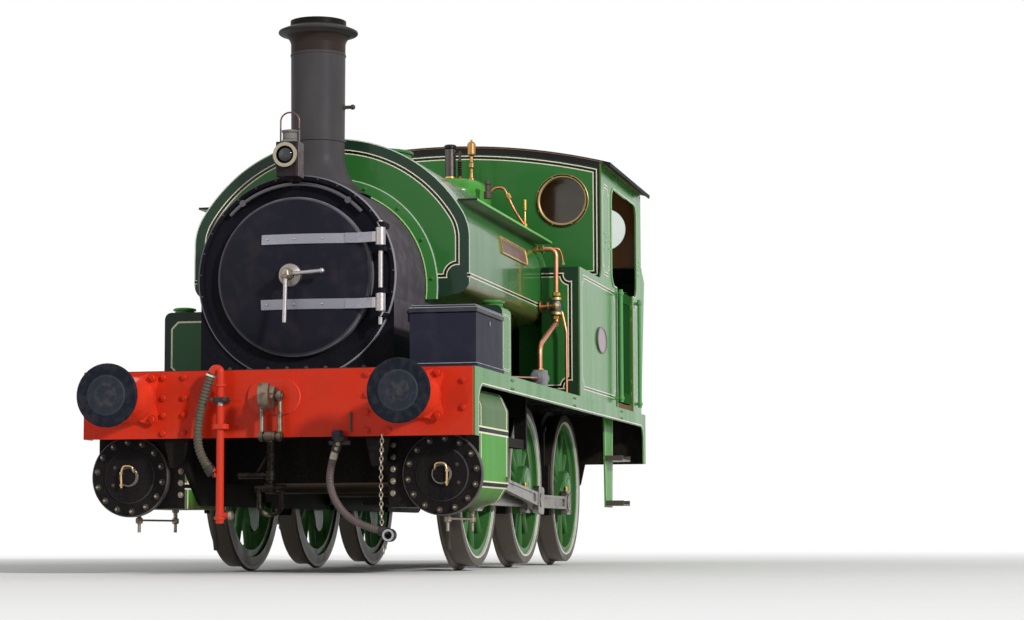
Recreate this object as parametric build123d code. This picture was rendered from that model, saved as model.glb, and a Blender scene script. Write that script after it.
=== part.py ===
# Six-coupled saddle tank locomotive with outside cylinders.
# Millimetres, +Z up. The front faces -Y and the locomotive's left-hand side is +X.
# The origin is on the floor that the wheel flanges stand on, midway between the buffer heads.
from build123d import *
from math import asin, atan2, cos, degrees, dist, pi, radians, sin, sqrt, tan
import os

os.makedirs("parts", exist_ok=True)

# Lengths, one after the other from the front beam's face
FRONT_PLATFORM = 420
SMOKEBOX_LENGTH = 700
TANK_LENGTH = 2360
DOME_SPACE = 660
CAB_LENGTH = 1780
REAR_PLATFORM = 160
CYLINDER_FRONT = 220
CYLINDER_LENGTH = 780

# Widths
PLATE_WIDTH = 2380
BEAM_INSET = 7.5
CAB_INSET = 5
ROOF_OVERHANG = 72
TANK_HALF_WIDTH = 904
BUFFER_SPACING = 1727

# Wheels and axles
WHEEL_DIAMETER = 1100
FLANGE_HEIGHT = 28
FLANGE_WIDTH = 32
TYRE_WIDTH = 142
BACK_TO_BACK = 1362
WHEEL_SPACE = 350
CYLINDER_SPACE = 110
AXLE_RADIUS = 82
CRANK_THROW = 254
CRANK_ANGLE = 27
CRANK_PIN_RADIUS = 48

# Heights of the running plate over the wheels, and of the boiler, tank and cab over the plate
PLATE_CLEARANCE = 66
BEAM_DEPTH = 398
BOILER_RADIUS = 580
BOILER_LIFT = 9
TANK_RISE = 955
CHIMNEY_HEIGHT = 1028
WAIST_HEIGHT = 919
ROOF_HEIGHT = 1954
ROOF_RISE = 165

# Sheets and fits
SHEET = 10
PLATE_THICKNESS = 10
HINGE_FIT = 0.08
ROD_FIT = 1.0
SEAT_GAP = 0.3

# Places that follow from them, as distances behind the front beam's face and heights over the floor
SMOKEBOX_FRONT = FRONT_PLATFORM
TANK_FRONT = SMOKEBOX_FRONT + SMOKEBOX_LENGTH
TANK_REAR = TANK_FRONT + TANK_LENGTH
CAB_FRONT = TANK_REAR + DOME_SPACE
CAB_REAR = CAB_FRONT + CAB_LENGTH
FRAME_LENGTH = CAB_REAR + REAR_PLATFORM
CYLINDER_REAR = CYLINDER_FRONT + CYLINDER_LENGTH
AXLE_SPACING = WHEEL_DIAMETER + WHEEL_SPACE
FIRST_AXLE = CYLINDER_REAR + CYLINDER_SPACE + WHEEL_DIAMETER / 2
AXLES = [FIRST_AXLE + n * AXLE_SPACING for n in range(3)]
AXLE_Z = FLANGE_HEIGHT + WHEEL_DIAMETER / 2
PLATE_TOP = FLANGE_HEIGHT + WHEEL_DIAMETER + PLATE_CLEARANCE
PLATE_UNDER = PLATE_TOP - PLATE_THICKNESS
BOILER_Z = PLATE_UNDER + BOILER_LIFT + BOILER_RADIUS
WAIST = PLATE_TOP + WAIST_HEIGHT
HALF_PLATE = PLATE_WIDTH / 2
CAB_HALF_WIDTH = HALF_PLATE - CAB_INSET


def back(distance):
    """Y of a point that is given as a distance behind the front beam's face."""
    return distance - FRAME_LENGTH / 2


def block(x0, x1, y0, y1, z0, z1):
    """Box between two corners."""
    return Pos((x0 + x1) / 2, (y0 + y1) / 2, (z0 + z1) / 2) * Box(abs(x1 - x0), abs(y1 - y0), abs(z1 - z0))


def bar_x(x0, x1, y, z, radius):
    """Round bar along X."""
    return Pos((x0 + x1) / 2, y, z) * Rot(0, 90, 0) * Cylinder(radius, abs(x1 - x0))


def bar_y(y0, y1, x, z, radius):
    """Round bar along Y."""
    return Pos(x, (y0 + y1) / 2, z) * Rot(90, 0, 0) * Cylinder(radius, abs(y1 - y0))


def bar_z(z0, z1, x, y, radius):
    """Round bar along Z."""
    return Pos(x, y, (z0 + z1) / 2) * Cylinder(radius, abs(z1 - z0))


def across(sketch, y0, y1):
    """Sketch drawn in X and Z, carried from y0 to y1."""
    plane = Plane(origin=(0, y1, 0), x_dir=(1, 0, 0), z_dir=(0, -1, 0))
    return extrude(plane * sketch, y1 - y0)


def along(sketch, x0, x1):
    """Sketch drawn in Y and Z, carried from x0 to x1."""
    plane = Plane(origin=(x0, 0, 0), x_dir=(0, 1, 0), z_dir=(1, 0, 0))
    return extrude(plane * sketch, x1 - x0)


def flat(sketch, z0, z1):
    """Sketch drawn in X and Y, carried from z0 to z1."""
    return extrude(Pos(0, 0, z0) * sketch, z1 - z0)


def outline(*points):
    """Face inside a closed run of straight lines."""
    return make_face(Polyline(*points, close=True))


def rounded(sketch, radius, chosen):
    """Sketch whose corners that pass the chosen test are rounded."""
    corners = [corner for corner in sketch.vertices() if chosen(corner)]
    return fillet(corners, radius)


def spun(face, x=0, y=0, z=0, direction="Z"):
    """Solid of revolution from a face drawn in radius and height, about Z or about Y."""
    solid = revolve(Plane.XZ * face, Axis.Z, 360)
    if direction == "Y":
        solid = Rot(-90, 0, 0) * solid
    return Pos(x, y, z) * solid


def turned(points, x=0, y=0, z=0, direction="Z"):
    """Solid of revolution from (radius, height) points."""
    return spun(outline(*points), x, y, z, direction)


def both_sides(solid):
    """The piece on the +X side and its mirror image on the -X side."""
    return [solid, mirror(solid, about=Plane.YZ)]


def pipe(points, radii, radius):
    """Round pipe along straight runs joined by arcs."""
    path = FilletPolyline(*points, radius=radii)
    section = Plane(origin=path @ 0, z_dir=path % 0) * Circle(radius)
    return sweep(section, path)


def rod(start, end, radius):
    """Round bar between two points."""
    run = Vector(*end) - Vector(*start)
    bar = Cylinder(radius, run.length, align=(Align.CENTER, Align.CENTER, Align.MIN))
    return Plane(origin=start, z_dir=run) * bar


def beyond(start, end, length):
    """Point that lies a length past the end of a run."""
    run = Vector(*end) - Vector(*start)
    point = Vector(*end) + run.normalized() * length
    return point.X, point.Y, point.Z


def save(name, *solids):
    """One file for a node with one or more separate solids."""
    shape = solids[0] if len(solids) == 1 else Compound(children=list(solids))
    export_step(shape, "parts/" + name + ".step")


# Main frames: two plates with openings for the axleboxes and lightening holes, the tapered brackets at their
# ends, and the cross members between them
FRAME_INNER = 600
FRAME_PLATE = 28
FRAME_OUTER = FRAME_INNER + FRAME_PLATE
FRAME_BOTTOM = AXLE_Z - 170
END_DEPTH = 446
END_RAKE = 420
RAKE_ROUNDING = 150
BEAM_PLATE = 32
BEAM_BOTTOM = PLATE_TOP - BEAM_DEPTH
HORN_GAP = 230
HORN_HEIGHT = 170
LIGHTENING_RADIUS = 150
STRETCHER = 24
STRETCHER_DROP = 36
FRONT_STRETCHER = 905
SPRING_REACH = 420
HOOK_SHANK_LENGTH = 150
BRACKET_THICKNESS = 20
BRACKET_TOP_HALF = 76
BRACKET_FOOT_HALF = 38
BRACKET_DEPTH = 172
frame_front = back(BEAM_PLATE)
frame_rear = back(FRAME_LENGTH - BEAM_PLATE)


def frame_plate():
    end_bottom = PLATE_TOP - END_DEPTH
    plate = outline((frame_front, PLATE_UNDER), (frame_rear, PLATE_UNDER), (frame_rear, end_bottom),
                    (frame_rear - END_RAKE, FRAME_BOTTOM), (frame_front + END_RAKE, FRAME_BOTTOM),
                    (frame_front, end_bottom))
    plate = rounded(plate, RAKE_ROUNDING, lambda corner: abs(corner.Y - FRAME_BOTTOM) < 1)
    for axle in AXLES:
        plate -= Pos(back(axle), AXLE_Z + HORN_HEIGHT - 500) * RectangleRounded(HORN_GAP, 1000, 20)
    hole_z = (FRAME_BOTTOM + PLATE_UNDER) / 2
    for axle in AXLES[:2]:
        plate -= Pos(back(axle + AXLE_SPACING / 2), hole_z) * Circle(LIGHTENING_RADIUS)
    return along(plate, FRAME_INNER, FRAME_OUTER)


def end_bracket(y0):
    """Plate across the end of a frame, broad under the beam and narrow at its rounded foot."""
    middle = (FRAME_INNER + FRAME_OUTER) / 2
    foot = BEAM_BOTTOM - BRACKET_DEPTH
    bracket = outline((middle - BRACKET_TOP_HALF, BEAM_BOTTOM), (middle + BRACKET_TOP_HALF, BEAM_BOTTOM),
                      (middle + BRACKET_FOOT_HALF, foot), (middle - BRACKET_FOOT_HALF, foot))
    bracket = rounded(bracket, BRACKET_FOOT_HALF / 2, lambda corner: corner.Y < BEAM_BOTTOM - 1)
    return across(bracket, y0, y0 + BRACKET_THICKNESS)


frame = frame_plate() + end_bracket(frame_front) + end_bracket(frame_rear - BRACKET_THICKNESS)
frames = both_sides(frame)
middle_stretcher = (AXLES[0] + AXLES[1]) / 2
rear_stretcher = (AXLES[2] + SPRING_REACH + FRAME_LENGTH - HOOK_SHANK_LENGTH) / 2
for place, depth in ((FRONT_STRETCHER, 646), (middle_stretcher, 406), (rear_stretcher, 646)):
    frames.append(block(-FRAME_INNER, FRAME_INNER, back(place) - STRETCHER / 2, back(place) + STRETCHER / 2,
                        PLATE_TOP - depth, PLATE_TOP - STRETCHER_DROP))
save("main_frames", *frames)

# Buffer beams
BEAM_HALF_WIDTH = HALF_PLATE - BEAM_INSET
HOOK_Z = PLATE_TOP - 163
HOOK_SHANK = 30
beams = []
for y0 in (back(0), back(FRAME_LENGTH) - BEAM_PLATE):
    beam = block(-BEAM_HALF_WIDTH, BEAM_HALF_WIDTH, y0, y0 + BEAM_PLATE, BEAM_BOTTOM, PLATE_TOP)
    beams.append(beam - bar_y(y0 - 1, y0 + BEAM_PLATE + 1, 0, HOOK_Z, HOOK_SHANK + SEAT_GAP))
save("buffer_beams", *beams)

# Running plates: each has a valance whose ends curve down behind the beams. The platform covers the frames'
# front.
VALANCE_DEPTH = 104
VALANCE_END = 108
VALANCE_CURVE = 110
valance_bottom = PLATE_TOP - VALANCE_DEPTH
valance = outline((frame_front, PLATE_TOP), (frame_rear, PLATE_TOP), (frame_rear, BEAM_BOTTOM),
                  (frame_rear - VALANCE_END, BEAM_BOTTOM), (frame_rear - VALANCE_END, valance_bottom),
                  (frame_front + VALANCE_END, valance_bottom), (frame_front + VALANCE_END, BEAM_BOTTOM),
                  (frame_front, BEAM_BOTTOM))
valance = rounded(valance, VALANCE_CURVE, lambda corner: abs(corner.Y - valance_bottom) < 1)
running = block(FRAME_INNER, HALF_PLATE, frame_front, frame_rear, PLATE_UNDER, PLATE_TOP)
running += along(valance, HALF_PLATE - SHEET, HALF_PLATE)
platform = block(-FRAME_INNER, FRAME_INNER, frame_front, back(TANK_FRONT), PLATE_UNDER, PLATE_TOP)
save("running_plates", *both_sides(running), platform)

# Buffers: a flange with hollowed sides, a tapered housing, and a plunger with a broad ringed head
BUFFER_Z = PLATE_TOP - 164
BUFFER_REACH = 454
BUFFER_HEAD_RADIUS = 184
BUFFER_HEAD_DEPTH = 34
FLANGE_SIDE = 296
FLANGE_THICKNESS = 28
FLANGE_HOLLOW = 212
HOLLOW_DEPTH = 20
HOUSING_LENGTH = 270
HOUSING_RADIUS = 108
HOUSING_FOOT_RADIUS = 134
PLUNGER_RADIUS = 84
PLUNGER_START = 20


def buffer_flange():
    """Square plate with lobed corners, each side hollowed by a wide arc."""
    plate = RectangleRounded(FLANGE_SIDE, FLANGE_SIDE, 44)
    for angle in range(0, 360, 90):
        hollow = Pos(FLANGE_SIDE / 2 + FLANGE_HOLLOW - HOLLOW_DEPTH, 0) * Circle(FLANGE_HOLLOW)
        plate -= Rot(0, 0, angle) * hollow
    return plate


def buffer_housing():
    """Made along +Y from the beam's face at the origin."""
    bore = PLUNGER_RADIUS + SEAT_GAP
    wall = Wire([Line((bore, 0), (HOUSING_FOOT_RADIUS, 0)),
                 Line((HOUSING_FOOT_RADIUS, 0), (HOUSING_FOOT_RADIUS, FLANGE_THICKNESS + 12)),
                 ThreePointArc((HOUSING_FOOT_RADIUS, FLANGE_THICKNESS + 12), (HOUSING_RADIUS + 8, 120),
                               (HOUSING_RADIUS, HOUSING_LENGTH - 24)),
                 Line((HOUSING_RADIUS, HOUSING_LENGTH - 24), (HOUSING_RADIUS + 6, HOUSING_LENGTH - 24)),
                 Line((HOUSING_RADIUS + 6, HOUSING_LENGTH - 24), (HOUSING_RADIUS + 6, HOUSING_LENGTH)),
                 Line((HOUSING_RADIUS + 6, HOUSING_LENGTH), (bore, HOUSING_LENGTH)),
                 Line((bore, HOUSING_LENGTH), (bore, 0))])
    flange = across(buffer_flange() - Circle(bore), 0, FLANGE_THICKNESS)
    return spun(make_face(wall), direction="Y") + flange


def buffer_plunger():
    """Its head has a raised disc and a smaller one on that."""
    rear = BUFFER_REACH - BUFFER_HEAD_DEPTH
    return turned([(0, PLUNGER_START), (PLUNGER_RADIUS, PLUNGER_START), (PLUNGER_RADIUS, rear),
                   (BUFFER_HEAD_RADIUS - 8, rear), (BUFFER_HEAD_RADIUS, rear + 8),
                   (BUFFER_HEAD_RADIUS, BUFFER_REACH - 16), (BUFFER_HEAD_RADIUS - 8, BUFFER_REACH - 8),
                   (116, BUFFER_REACH - 6), (110, BUFFER_REACH - 2), (62, BUFFER_REACH - 2), (56, BUFFER_REACH),
                   (0, BUFFER_REACH)], direction="Y")


housings = []
plungers = []
for x in (-BUFFER_SPACING / 2, BUFFER_SPACING / 2):
    for face, turn in ((back(0), 180), (back(FRAME_LENGTH), 0)):
        place = Pos(x, face, BUFFER_Z) * Rot(0, 0, turn)
        housings.append(place * buffer_housing())
        plungers.append(place * buffer_plunger())
save("buffer_housings", *housings)
save("buffer_plungers", *plungers)

# Drawhooks with their oval plates, and the screw couplings that hang from the hooks' eyes
HOOK_PLATE_WIDTH = 316
HOOK_PLATE_HEIGHT = 204
HOOK_PLATE_DEPTH = 18
HOOK_WIDTH = 62
HOOK_BOWL = 80
HOOK_REACH = 150
THROAT_RADIUS = 34
EYE_Y = -70
EYE_PIN = 18
LINK_X = 55
LINK_LENGTH = 232
LINK_BAR = 15
SCREW_LENGTH = 300
LOOP_DROP = 150
LEVER_DROP = 226
LEVER_LENGTH = 192


def drawhook():
    """Made with the beam's face at Y = 0."""
    plate = across(Pos(0, HOOK_Z) * SlotOverall(HOOK_PLATE_WIDTH, HOOK_PLATE_HEIGHT), -HOOK_PLATE_DEPTH, 0)
    shank = bar_y(-60, HOOK_SHANK_LENGTH, 0, HOOK_Z, HOOK_SHANK)
    bowl = Pos(-HOOK_REACH, 0) * Circle(HOOK_BOWL)
    bowl += outline((-10, -40), (-10, 44), (-HOOK_REACH, HOOK_BOWL - 20), (-HOOK_REACH, -HOOK_BOWL))
    throat = Pos(-HOOK_REACH - 8, 16) * Circle(THROAT_RADIUS)
    mouth = outline((-HOOK_REACH - 8 - THROAT_RADIUS, 16), (-HOOK_REACH - 8 + THROAT_RADIUS, 16), (-60, 110),
                    (-HOOK_REACH - 34, 110))
    jaw = along(Pos(0, HOOK_Z) * (bowl - throat - mouth), -HOOK_WIDTH / 2, HOOK_WIDTH / 2)
    return plate + shank + jaw + bar_x(-LINK_X - 20, LINK_X + 20, EYE_Y, HOOK_Z, EYE_PIN)


def screw_coupling():
    """Two links, the upper nut, the screw with its weighted lever, and the lower nut with its loop."""
    upper = HOOK_Z - LINK_LENGTH
    lower = upper - SCREW_LENGTH
    coupling = bar_x(-LINK_X - 18, LINK_X + 18, EYE_Y, upper, 20) + bar_x(-30, 30, EYE_Y, upper, 32)
    for x in (-LINK_X, LINK_X):
        coupling += bar_x(x - 11, x + 11, EYE_Y, HOOK_Z, 34) + bar_x(x - 11, x + 11, EYE_Y, upper, 30)
        coupling += bar_z(upper, HOOK_Z, x, EYE_Y, LINK_BAR)
    coupling += bar_z(lower, upper, 0, EYE_Y, 19)
    lever = upper - LEVER_DROP
    coupling += bar_z(lever - 26, lever + 26, 0, EYE_Y, 30)
    coupling += bar_x(-40, 0, EYE_Y, lever, 11) + bar_x(-LEVER_LENGTH, -36, EYE_Y, lever, 19)
    coupling += rod((-90, EYE_Y, lever), (-24, EYE_Y, lever + 110), 7)
    coupling += bar_x(-LINK_X - 36, LINK_X + 36, EYE_Y, lower, 20) + bar_x(-28, 28, EYE_Y, lower, 32)
    loop = [(-LINK_X - 12, EYE_Y, lower), (-LINK_X - 12, EYE_Y, lower - LOOP_DROP),
            (LINK_X + 12, EYE_Y, lower - LOOP_DROP), (LINK_X + 12, EYE_Y, lower)]
    coupling += pipe(loop, [60, 60], LINK_BAR)
    return coupling - bar_x(-LINK_X - 30, LINK_X + 30, EYE_Y, HOOK_Z, EYE_PIN + SEAT_GAP)


gear = []
for piece in (drawhook(), screw_coupling()):
    gear += [Pos(0, back(0), 0) * piece, Pos(0, back(FRAME_LENGTH), 0) * (Rot(0, 0, 180) * piece)]
save("drawgear", *gear)

# Brake pipe: a standpipe with a swan neck on the front beam, and the ribbed hose that hangs from it. Each
# hose is a list of (X, drop below the plate's top) points.
PIPE_RADIUS = 23
PIPE_Y = back(0) - 90
STANDPIPE_X = -300
STANDPIPE_DROP = 896
NECK_BEND = 24
NECK_TOP = PLATE_TOP + 2
BRAKE_HOSE_RADIUS = 27
ARC_SHARE = 0.45
BRAKE_ROUTE = [(-353, 24), (-391, 122), (-426, 251), (-443, 383), (-424, 499), (-369, 575)]


def placed(route, y):
    """Points of a hose's route in space."""
    return [(x, y, PLATE_TOP - drop) for x, drop in route]


def arc_radii(points):
    """Largest arc at each corner that uses its share of the shorter run."""
    radii = []
    for before, corner, after in zip(points, points[1:], points[2:]):
        run_in = Vector(*corner) - Vector(*before)
        run_out = Vector(*after) - Vector(*corner)
        turn = radians(run_in.get_angle(run_out))
        radii.append(ARC_SHARE * min(run_in.length, run_out.length) / tan(turn / 2))
    return radii


def hose(name, points, radius):
    """Tube of a hose, with its arcs and volume printed."""
    radii = arc_radii(points)
    path = FilletPolyline(*points, radius=radii)
    tube = pipe(points, radii, radius)
    print(name, "radii", [round(r) for r in radii], "volume ratio",
          round(tube.volume / (path.length * pi * radius ** 2), 4))
    save(name, tube)


brake_points = placed(BRAKE_ROUTE, PIPE_Y)
neck_start = beyond(brake_points[1], brake_points[0], SEAT_GAP)
lean = (brake_points[0][0] - brake_points[1][0]) / (brake_points[0][2] - brake_points[1][2])
neck_corner = (neck_start[0] + lean * (NECK_TOP - neck_start[2]), PIPE_Y, NECK_TOP)
standpipe_foot = PLATE_TOP - STANDPIPE_DROP
neck = [(STANDPIPE_X, PIPE_Y, standpipe_foot), (STANDPIPE_X, PIPE_Y, NECK_TOP), neck_corner, neck_start]
standpipe = pipe(neck, [NECK_BEND, NECK_BEND], PIPE_RADIUS)
for height in (BEAM_BOTTOM + 62, PLATE_TOP - 181):
    standpipe += flat(Pos(STANDPIPE_X, PIPE_Y) * SlotOverall(104, 72), height - 14, height + 14)
    standpipe += block(STANDPIPE_X - 26, STANDPIPE_X + 26, PIPE_Y, back(0), height - 14, height + 14)
for height in (standpipe_foot + 30, PLATE_TOP - 96):
    standpipe += bar_z(height - 8, height + 8, STANDPIPE_X, PIPE_Y, PIPE_RADIUS + 9)
hose_end = beyond(brake_points[-2], brake_points[-1], SEAT_GAP)
dummy_end = beyond(brake_points[-2], brake_points[-1], 42)
standpipe += rod(hose_end, dummy_end, 33)
standpipe += bar_x(dummy_end[0], STANDPIPE_X, PIPE_Y, dummy_end[2] - 6, 16)
standpipe += bar_x(STANDPIPE_X, STANDPIPE_X + 62, PIPE_Y, standpipe_foot + 46, 17)
save("brake_standpipe", standpipe)
hose("brake_hose", brake_points, BRAKE_HOSE_RADIUS)

# Steam heating pipe: a cock below the front beam and a rubber hose that ends in a coupling head
HEAT_X = 410
HEAT_Y = back(0) - 60
HEAT_HOSE_RADIUS = 22
COCK_RADIUS = 24
HEAT_ROUTE = [(386, 486), (358, 574), (351, 672), (384, 769), (452, 854), (548, 912), (650, 940)]
heat_points = placed(HEAT_ROUTE, HEAT_Y)
heat_start = beyond(heat_points[1], heat_points[0], SEAT_GAP)
tail_top = beyond(heat_points[1], heat_points[0], 44)
cock = rod(heat_start, tail_top, COCK_RADIUS + 3) + rod(tail_top, (HEAT_X, HEAT_Y, BEAM_BOTTOM - 18),
                                                        COCK_RADIUS)
cock += bar_z(BEAM_BOTTOM - 30, BEAM_BOTTOM - 6, HEAT_X, HEAT_Y, COCK_RADIUS + 10)
cock += block(HEAT_X - 26, HEAT_X + 26, HEAT_Y, back(0) + BEAM_PLATE, BEAM_BOTTOM - 28, BEAM_BOTTOM)
cock += bar_x(HEAT_X - 60, HEAT_X + 66, HEAT_Y, BEAM_BOTTOM - 40, 12)
save("heating_cock", cock)
hose("heating_hose", heat_points, HEAT_HOSE_RADIUS)
HEAD_RADIUS = 38
HEAD_BORE = 20
head_start = beyond(heat_points[-2], heat_points[-1], SEAT_GAP)
head_end = beyond(heat_points[-2], heat_points[-1], 60)
head_z = head_end[2] - 12
head = rod(head_start, head_end, 28) + bar_y(HEAT_Y - 26, HEAT_Y + 26, head_end[0], head_z, HEAD_RADIUS)
head -= bar_y(HEAT_Y - 27, HEAT_Y + 10, head_end[0], head_z, HEAD_BORE)
save("heating_coupling", head)

# Smokebox: round wrapper on a straight-sided base that stands on the platform, open at the door. Its front
# plate has an angle ring round its edge and a curved handrail over the door.
SMOKEBOX_RADIUS = BOILER_RADIUS + 40
SMOKEBOX_WALL = 14
FRONT_PLATE = 20
BASE_INSET = 15
RING_WIDTH = 32
RING_DEPTH = 14
DOOR_RADIUS = SMOKEBOX_RADIUS - 138
DOOR_LAP = 42
CHIMNEY_AT = 842
CHIMNEY_BORE = 140
HINGE_X = DOOR_RADIUS + 70
HINGE_Y = back(310)
HINGE_ROD = 14
STRAP_PLACES = (BOILER_Z + DOOR_RADIUS - 262, BOILER_Z - DOOR_RADIUS + 309)
SMOKEBOX_RAIL = SMOKEBOX_RADIUS - 58
SMOKEBOX_RAIL_BAR = 13
smokebox_front = back(SMOKEBOX_FRONT)
smokebox_top = BOILER_Z + SMOKEBOX_RADIUS
over_plate = Pos(0, PLATE_TOP + 2 * BOILER_RADIUS) * Rectangle(4 * SMOKEBOX_RADIUS, 4 * BOILER_RADIUS)
base = Pos(0, (PLATE_TOP + BOILER_Z) / 2) * Rectangle(2 * (SMOKEBOX_RADIUS - BASE_INSET), BOILER_Z - PLATE_TOP)
wrapper = Pos(0, BOILER_Z) * Circle(SMOKEBOX_RADIUS)
smokebox = across((wrapper + base) & over_plate, smokebox_front, back(TANK_FRONT))
inside = Pos(0, BOILER_Z) * Circle(SMOKEBOX_RADIUS - SMOKEBOX_WALL)
inside -= Pos(0, PLATE_TOP + SMOKEBOX_WALL - BOILER_RADIUS) * Rectangle(4 * SMOKEBOX_RADIUS, 2 * BOILER_RADIUS)
smokebox -= across(inside, smokebox_front + FRONT_PLATE, back(TANK_FRONT) - SMOKEBOX_WALL)
smokebox -= bar_y(smokebox_front - 1, smokebox_front + FRONT_PLATE + 1, 0, BOILER_Z, DOOR_RADIUS - DOOR_LAP)
smokebox -= bar_z(BOILER_Z, smokebox_top + 5, 0, back(CHIMNEY_AT), CHIMNEY_BORE)
ring = wrapper - Pos(0, BOILER_Z) * Circle(SMOKEBOX_RADIUS - RING_WIDTH)
smokebox += across(ring & over_plate, smokebox_front - RING_DEPTH, smokebox_front)
for height in STRAP_PLACES:
    for low, high in ((56, 86), (-86, -56)):
        smokebox += bar_z(height + low, height + high, HINGE_X, HINGE_Y, 24)
        smokebox += block(HINGE_X - 24, HINGE_X + 24, HINGE_Y, smokebox_front, height + low, height + high)
smokebox -= bar_z(BOILER_Z - 345, BOILER_Z + 355, HINGE_X, HINGE_Y, HINGE_ROD + HINGE_FIT)


def rail_point(degrees_from_top, y):
    """Point on the curved handrail's circle."""
    angle = radians(degrees_from_top)
    return SMOKEBOX_RAIL * sin(angle), y, BOILER_Z + SMOKEBOX_RAIL * cos(angle)


rail_y = smokebox_front - 25
rail_arc = ThreePointArc(rail_point(-47, rail_y), rail_point(0, rail_y), rail_point(47, rail_y))
curved_rail = sweep(Plane(origin=rail_arc @ 0, z_dir=rail_arc % 0) * Circle(SMOKEBOX_RAIL_BAR), rail_arc)
for angle in (-36, 36):
    curved_rail += rod(rail_point(angle, rail_y - 20), rail_point(angle, rail_y + 18), 20)
    curved_rail += rod(rail_point(angle, rail_y), rail_point(angle, smokebox_front + SMOKEBOX_WALL / 2), 14)
save("smokebox", smokebox + curved_rail)

# Smokebox door: a shallow dome with two straps that hang on a long hinge rod, and the two handles on its boss
DOOR_DEPTH = 60
DOOR_CROWN = 58
DOOR_EDGE = 16
DOOR_SKIN = 24
STRAP = 12
STRAP_HALF = 30
STRAP_START = -190
BOSS_RADIUS = 68
door_face = smokebox_front - DOOR_DEPTH
door_seat = DOOR_DEPTH - SEAT_GAP


def domed(crown, edge_radius, foot):
    """Face under a shallow arc from the crown on the axis to the edge, down to the foot."""
    return make_face(Wire([ThreePointArc((0, -crown), (edge_radius * 0.52, -crown * 0.73), (edge_radius, 0)),
                           Line((edge_radius, 0), (edge_radius, foot)), Line((edge_radius, foot), (0, foot)),
                           Line((0, foot), (0, -crown))]))


edge = DOOR_RADIUS - DOOR_EDGE
shell = domed(DOOR_CROWN, edge, door_seat)
shell += outline((edge, 0), (DOOR_RADIUS, DOOR_EDGE), (DOOR_RADIUS, door_seat), (edge, door_seat))
shell -= domed(DOOR_CROWN - DOOR_SKIN, edge - 10, door_seat + 1)
door = spun(shell, 0, door_face, BOILER_Z, "Y")
strap_skin = spun(domed(DOOR_CROWN + STRAP, edge, DOOR_EDGE / 2), 0, door_face, BOILER_Z, "Y")
for height in STRAP_PLACES:
    door += strap_skin & block(STRAP_START, edge - 66, door_face - 200, door_face + 10, height - STRAP_HALF,
                               height + STRAP_HALF)
    arm = outline((edge - 136, door_face - 34), (edge - 66, door_face - 22), (HINGE_X, HINGE_Y - STRAP),
                  (HINGE_X, HINGE_Y + STRAP), (edge - 66, door_face + 2), (edge - 136, door_face - 14))
    door += flat(arm, height - STRAP_HALF, height + STRAP_HALF)
    door += bar_z(height - 52, height + 52, HINGE_X, HINGE_Y, 30)
door += bar_z(BOILER_Z - 305, BOILER_Z + 315, HINGE_X, HINGE_Y, HINGE_ROD)
door += turned([(0, -102), (34, -102), (BOSS_RADIUS, -84), (BOSS_RADIUS, -40), (0, -40)], 0, door_face,
               BOILER_Z, "Y")
door += bar_y(door_face - 175, door_face - 90, 0, BOILER_Z, 24)
door += rod((0, door_face - 160, BOILER_Z + 20), (-8, door_face - 160, BOILER_Z - 290), 13)
door += rod((-20, door_face - 130, BOILER_Z), (213, door_face - 130, BOILER_Z + 15), 13)
door += Pos(213, door_face - 130, BOILER_Z + 15) * Sphere(18)
save("smokebox_door", door)

# Chimney: cast, with a bell lip under a plain top ring, and a flared skirt that sits on the smokebox
CHIMNEY_RADIUS = 166
TOP_RADIUS = 174
LIP_RADIUS = 248
SKIRT_RADIUS = 330
SKIRT_DROP = 75
SKIRT_HEIGHT = 270
chimney_top = smokebox_top + CHIMNEY_HEIGHT
skirt_foot = smokebox_top - SKIRT_DROP
bell_foot = chimney_top - 148
lip_z = chimney_top - 72
chimney_wall = Wire([Line((CHIMNEY_BORE, skirt_foot), (SKIRT_RADIUS, skirt_foot)),
                     ThreePointArc((SKIRT_RADIUS, skirt_foot), (208, skirt_foot + 110),
                                   (CHIMNEY_RADIUS, skirt_foot + SKIRT_HEIGHT)),
                     Line((CHIMNEY_RADIUS, skirt_foot + SKIRT_HEIGHT), (TOP_RADIUS - 4, bell_foot)),
                     ThreePointArc((TOP_RADIUS - 4, bell_foot), (193, bell_foot + 46),
                                   (LIP_RADIUS - 8, lip_z - 10)),
                     ThreePointArc((LIP_RADIUS - 8, lip_z - 10), (LIP_RADIUS, lip_z),
                                   (LIP_RADIUS - 8, lip_z + 10)),
                     Line((LIP_RADIUS - 8, lip_z + 10), (TOP_RADIUS, chimney_top - 34)),
                     Line((TOP_RADIUS, chimney_top - 34), (TOP_RADIUS, chimney_top)),
                     Line((TOP_RADIUS, chimney_top), (CHIMNEY_BORE, chimney_top)),
                     Line((CHIMNEY_BORE, chimney_top), (CHIMNEY_BORE, skirt_foot))])
chimney = spun(make_face(chimney_wall), 0, back(CHIMNEY_AT), 0)
chimney -= bar_y(smokebox_front - 200, back(TANK_FRONT) + 200, 0, BOILER_Z, SMOKEBOX_RADIUS + SEAT_GAP)
save("chimney", chimney)

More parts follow.
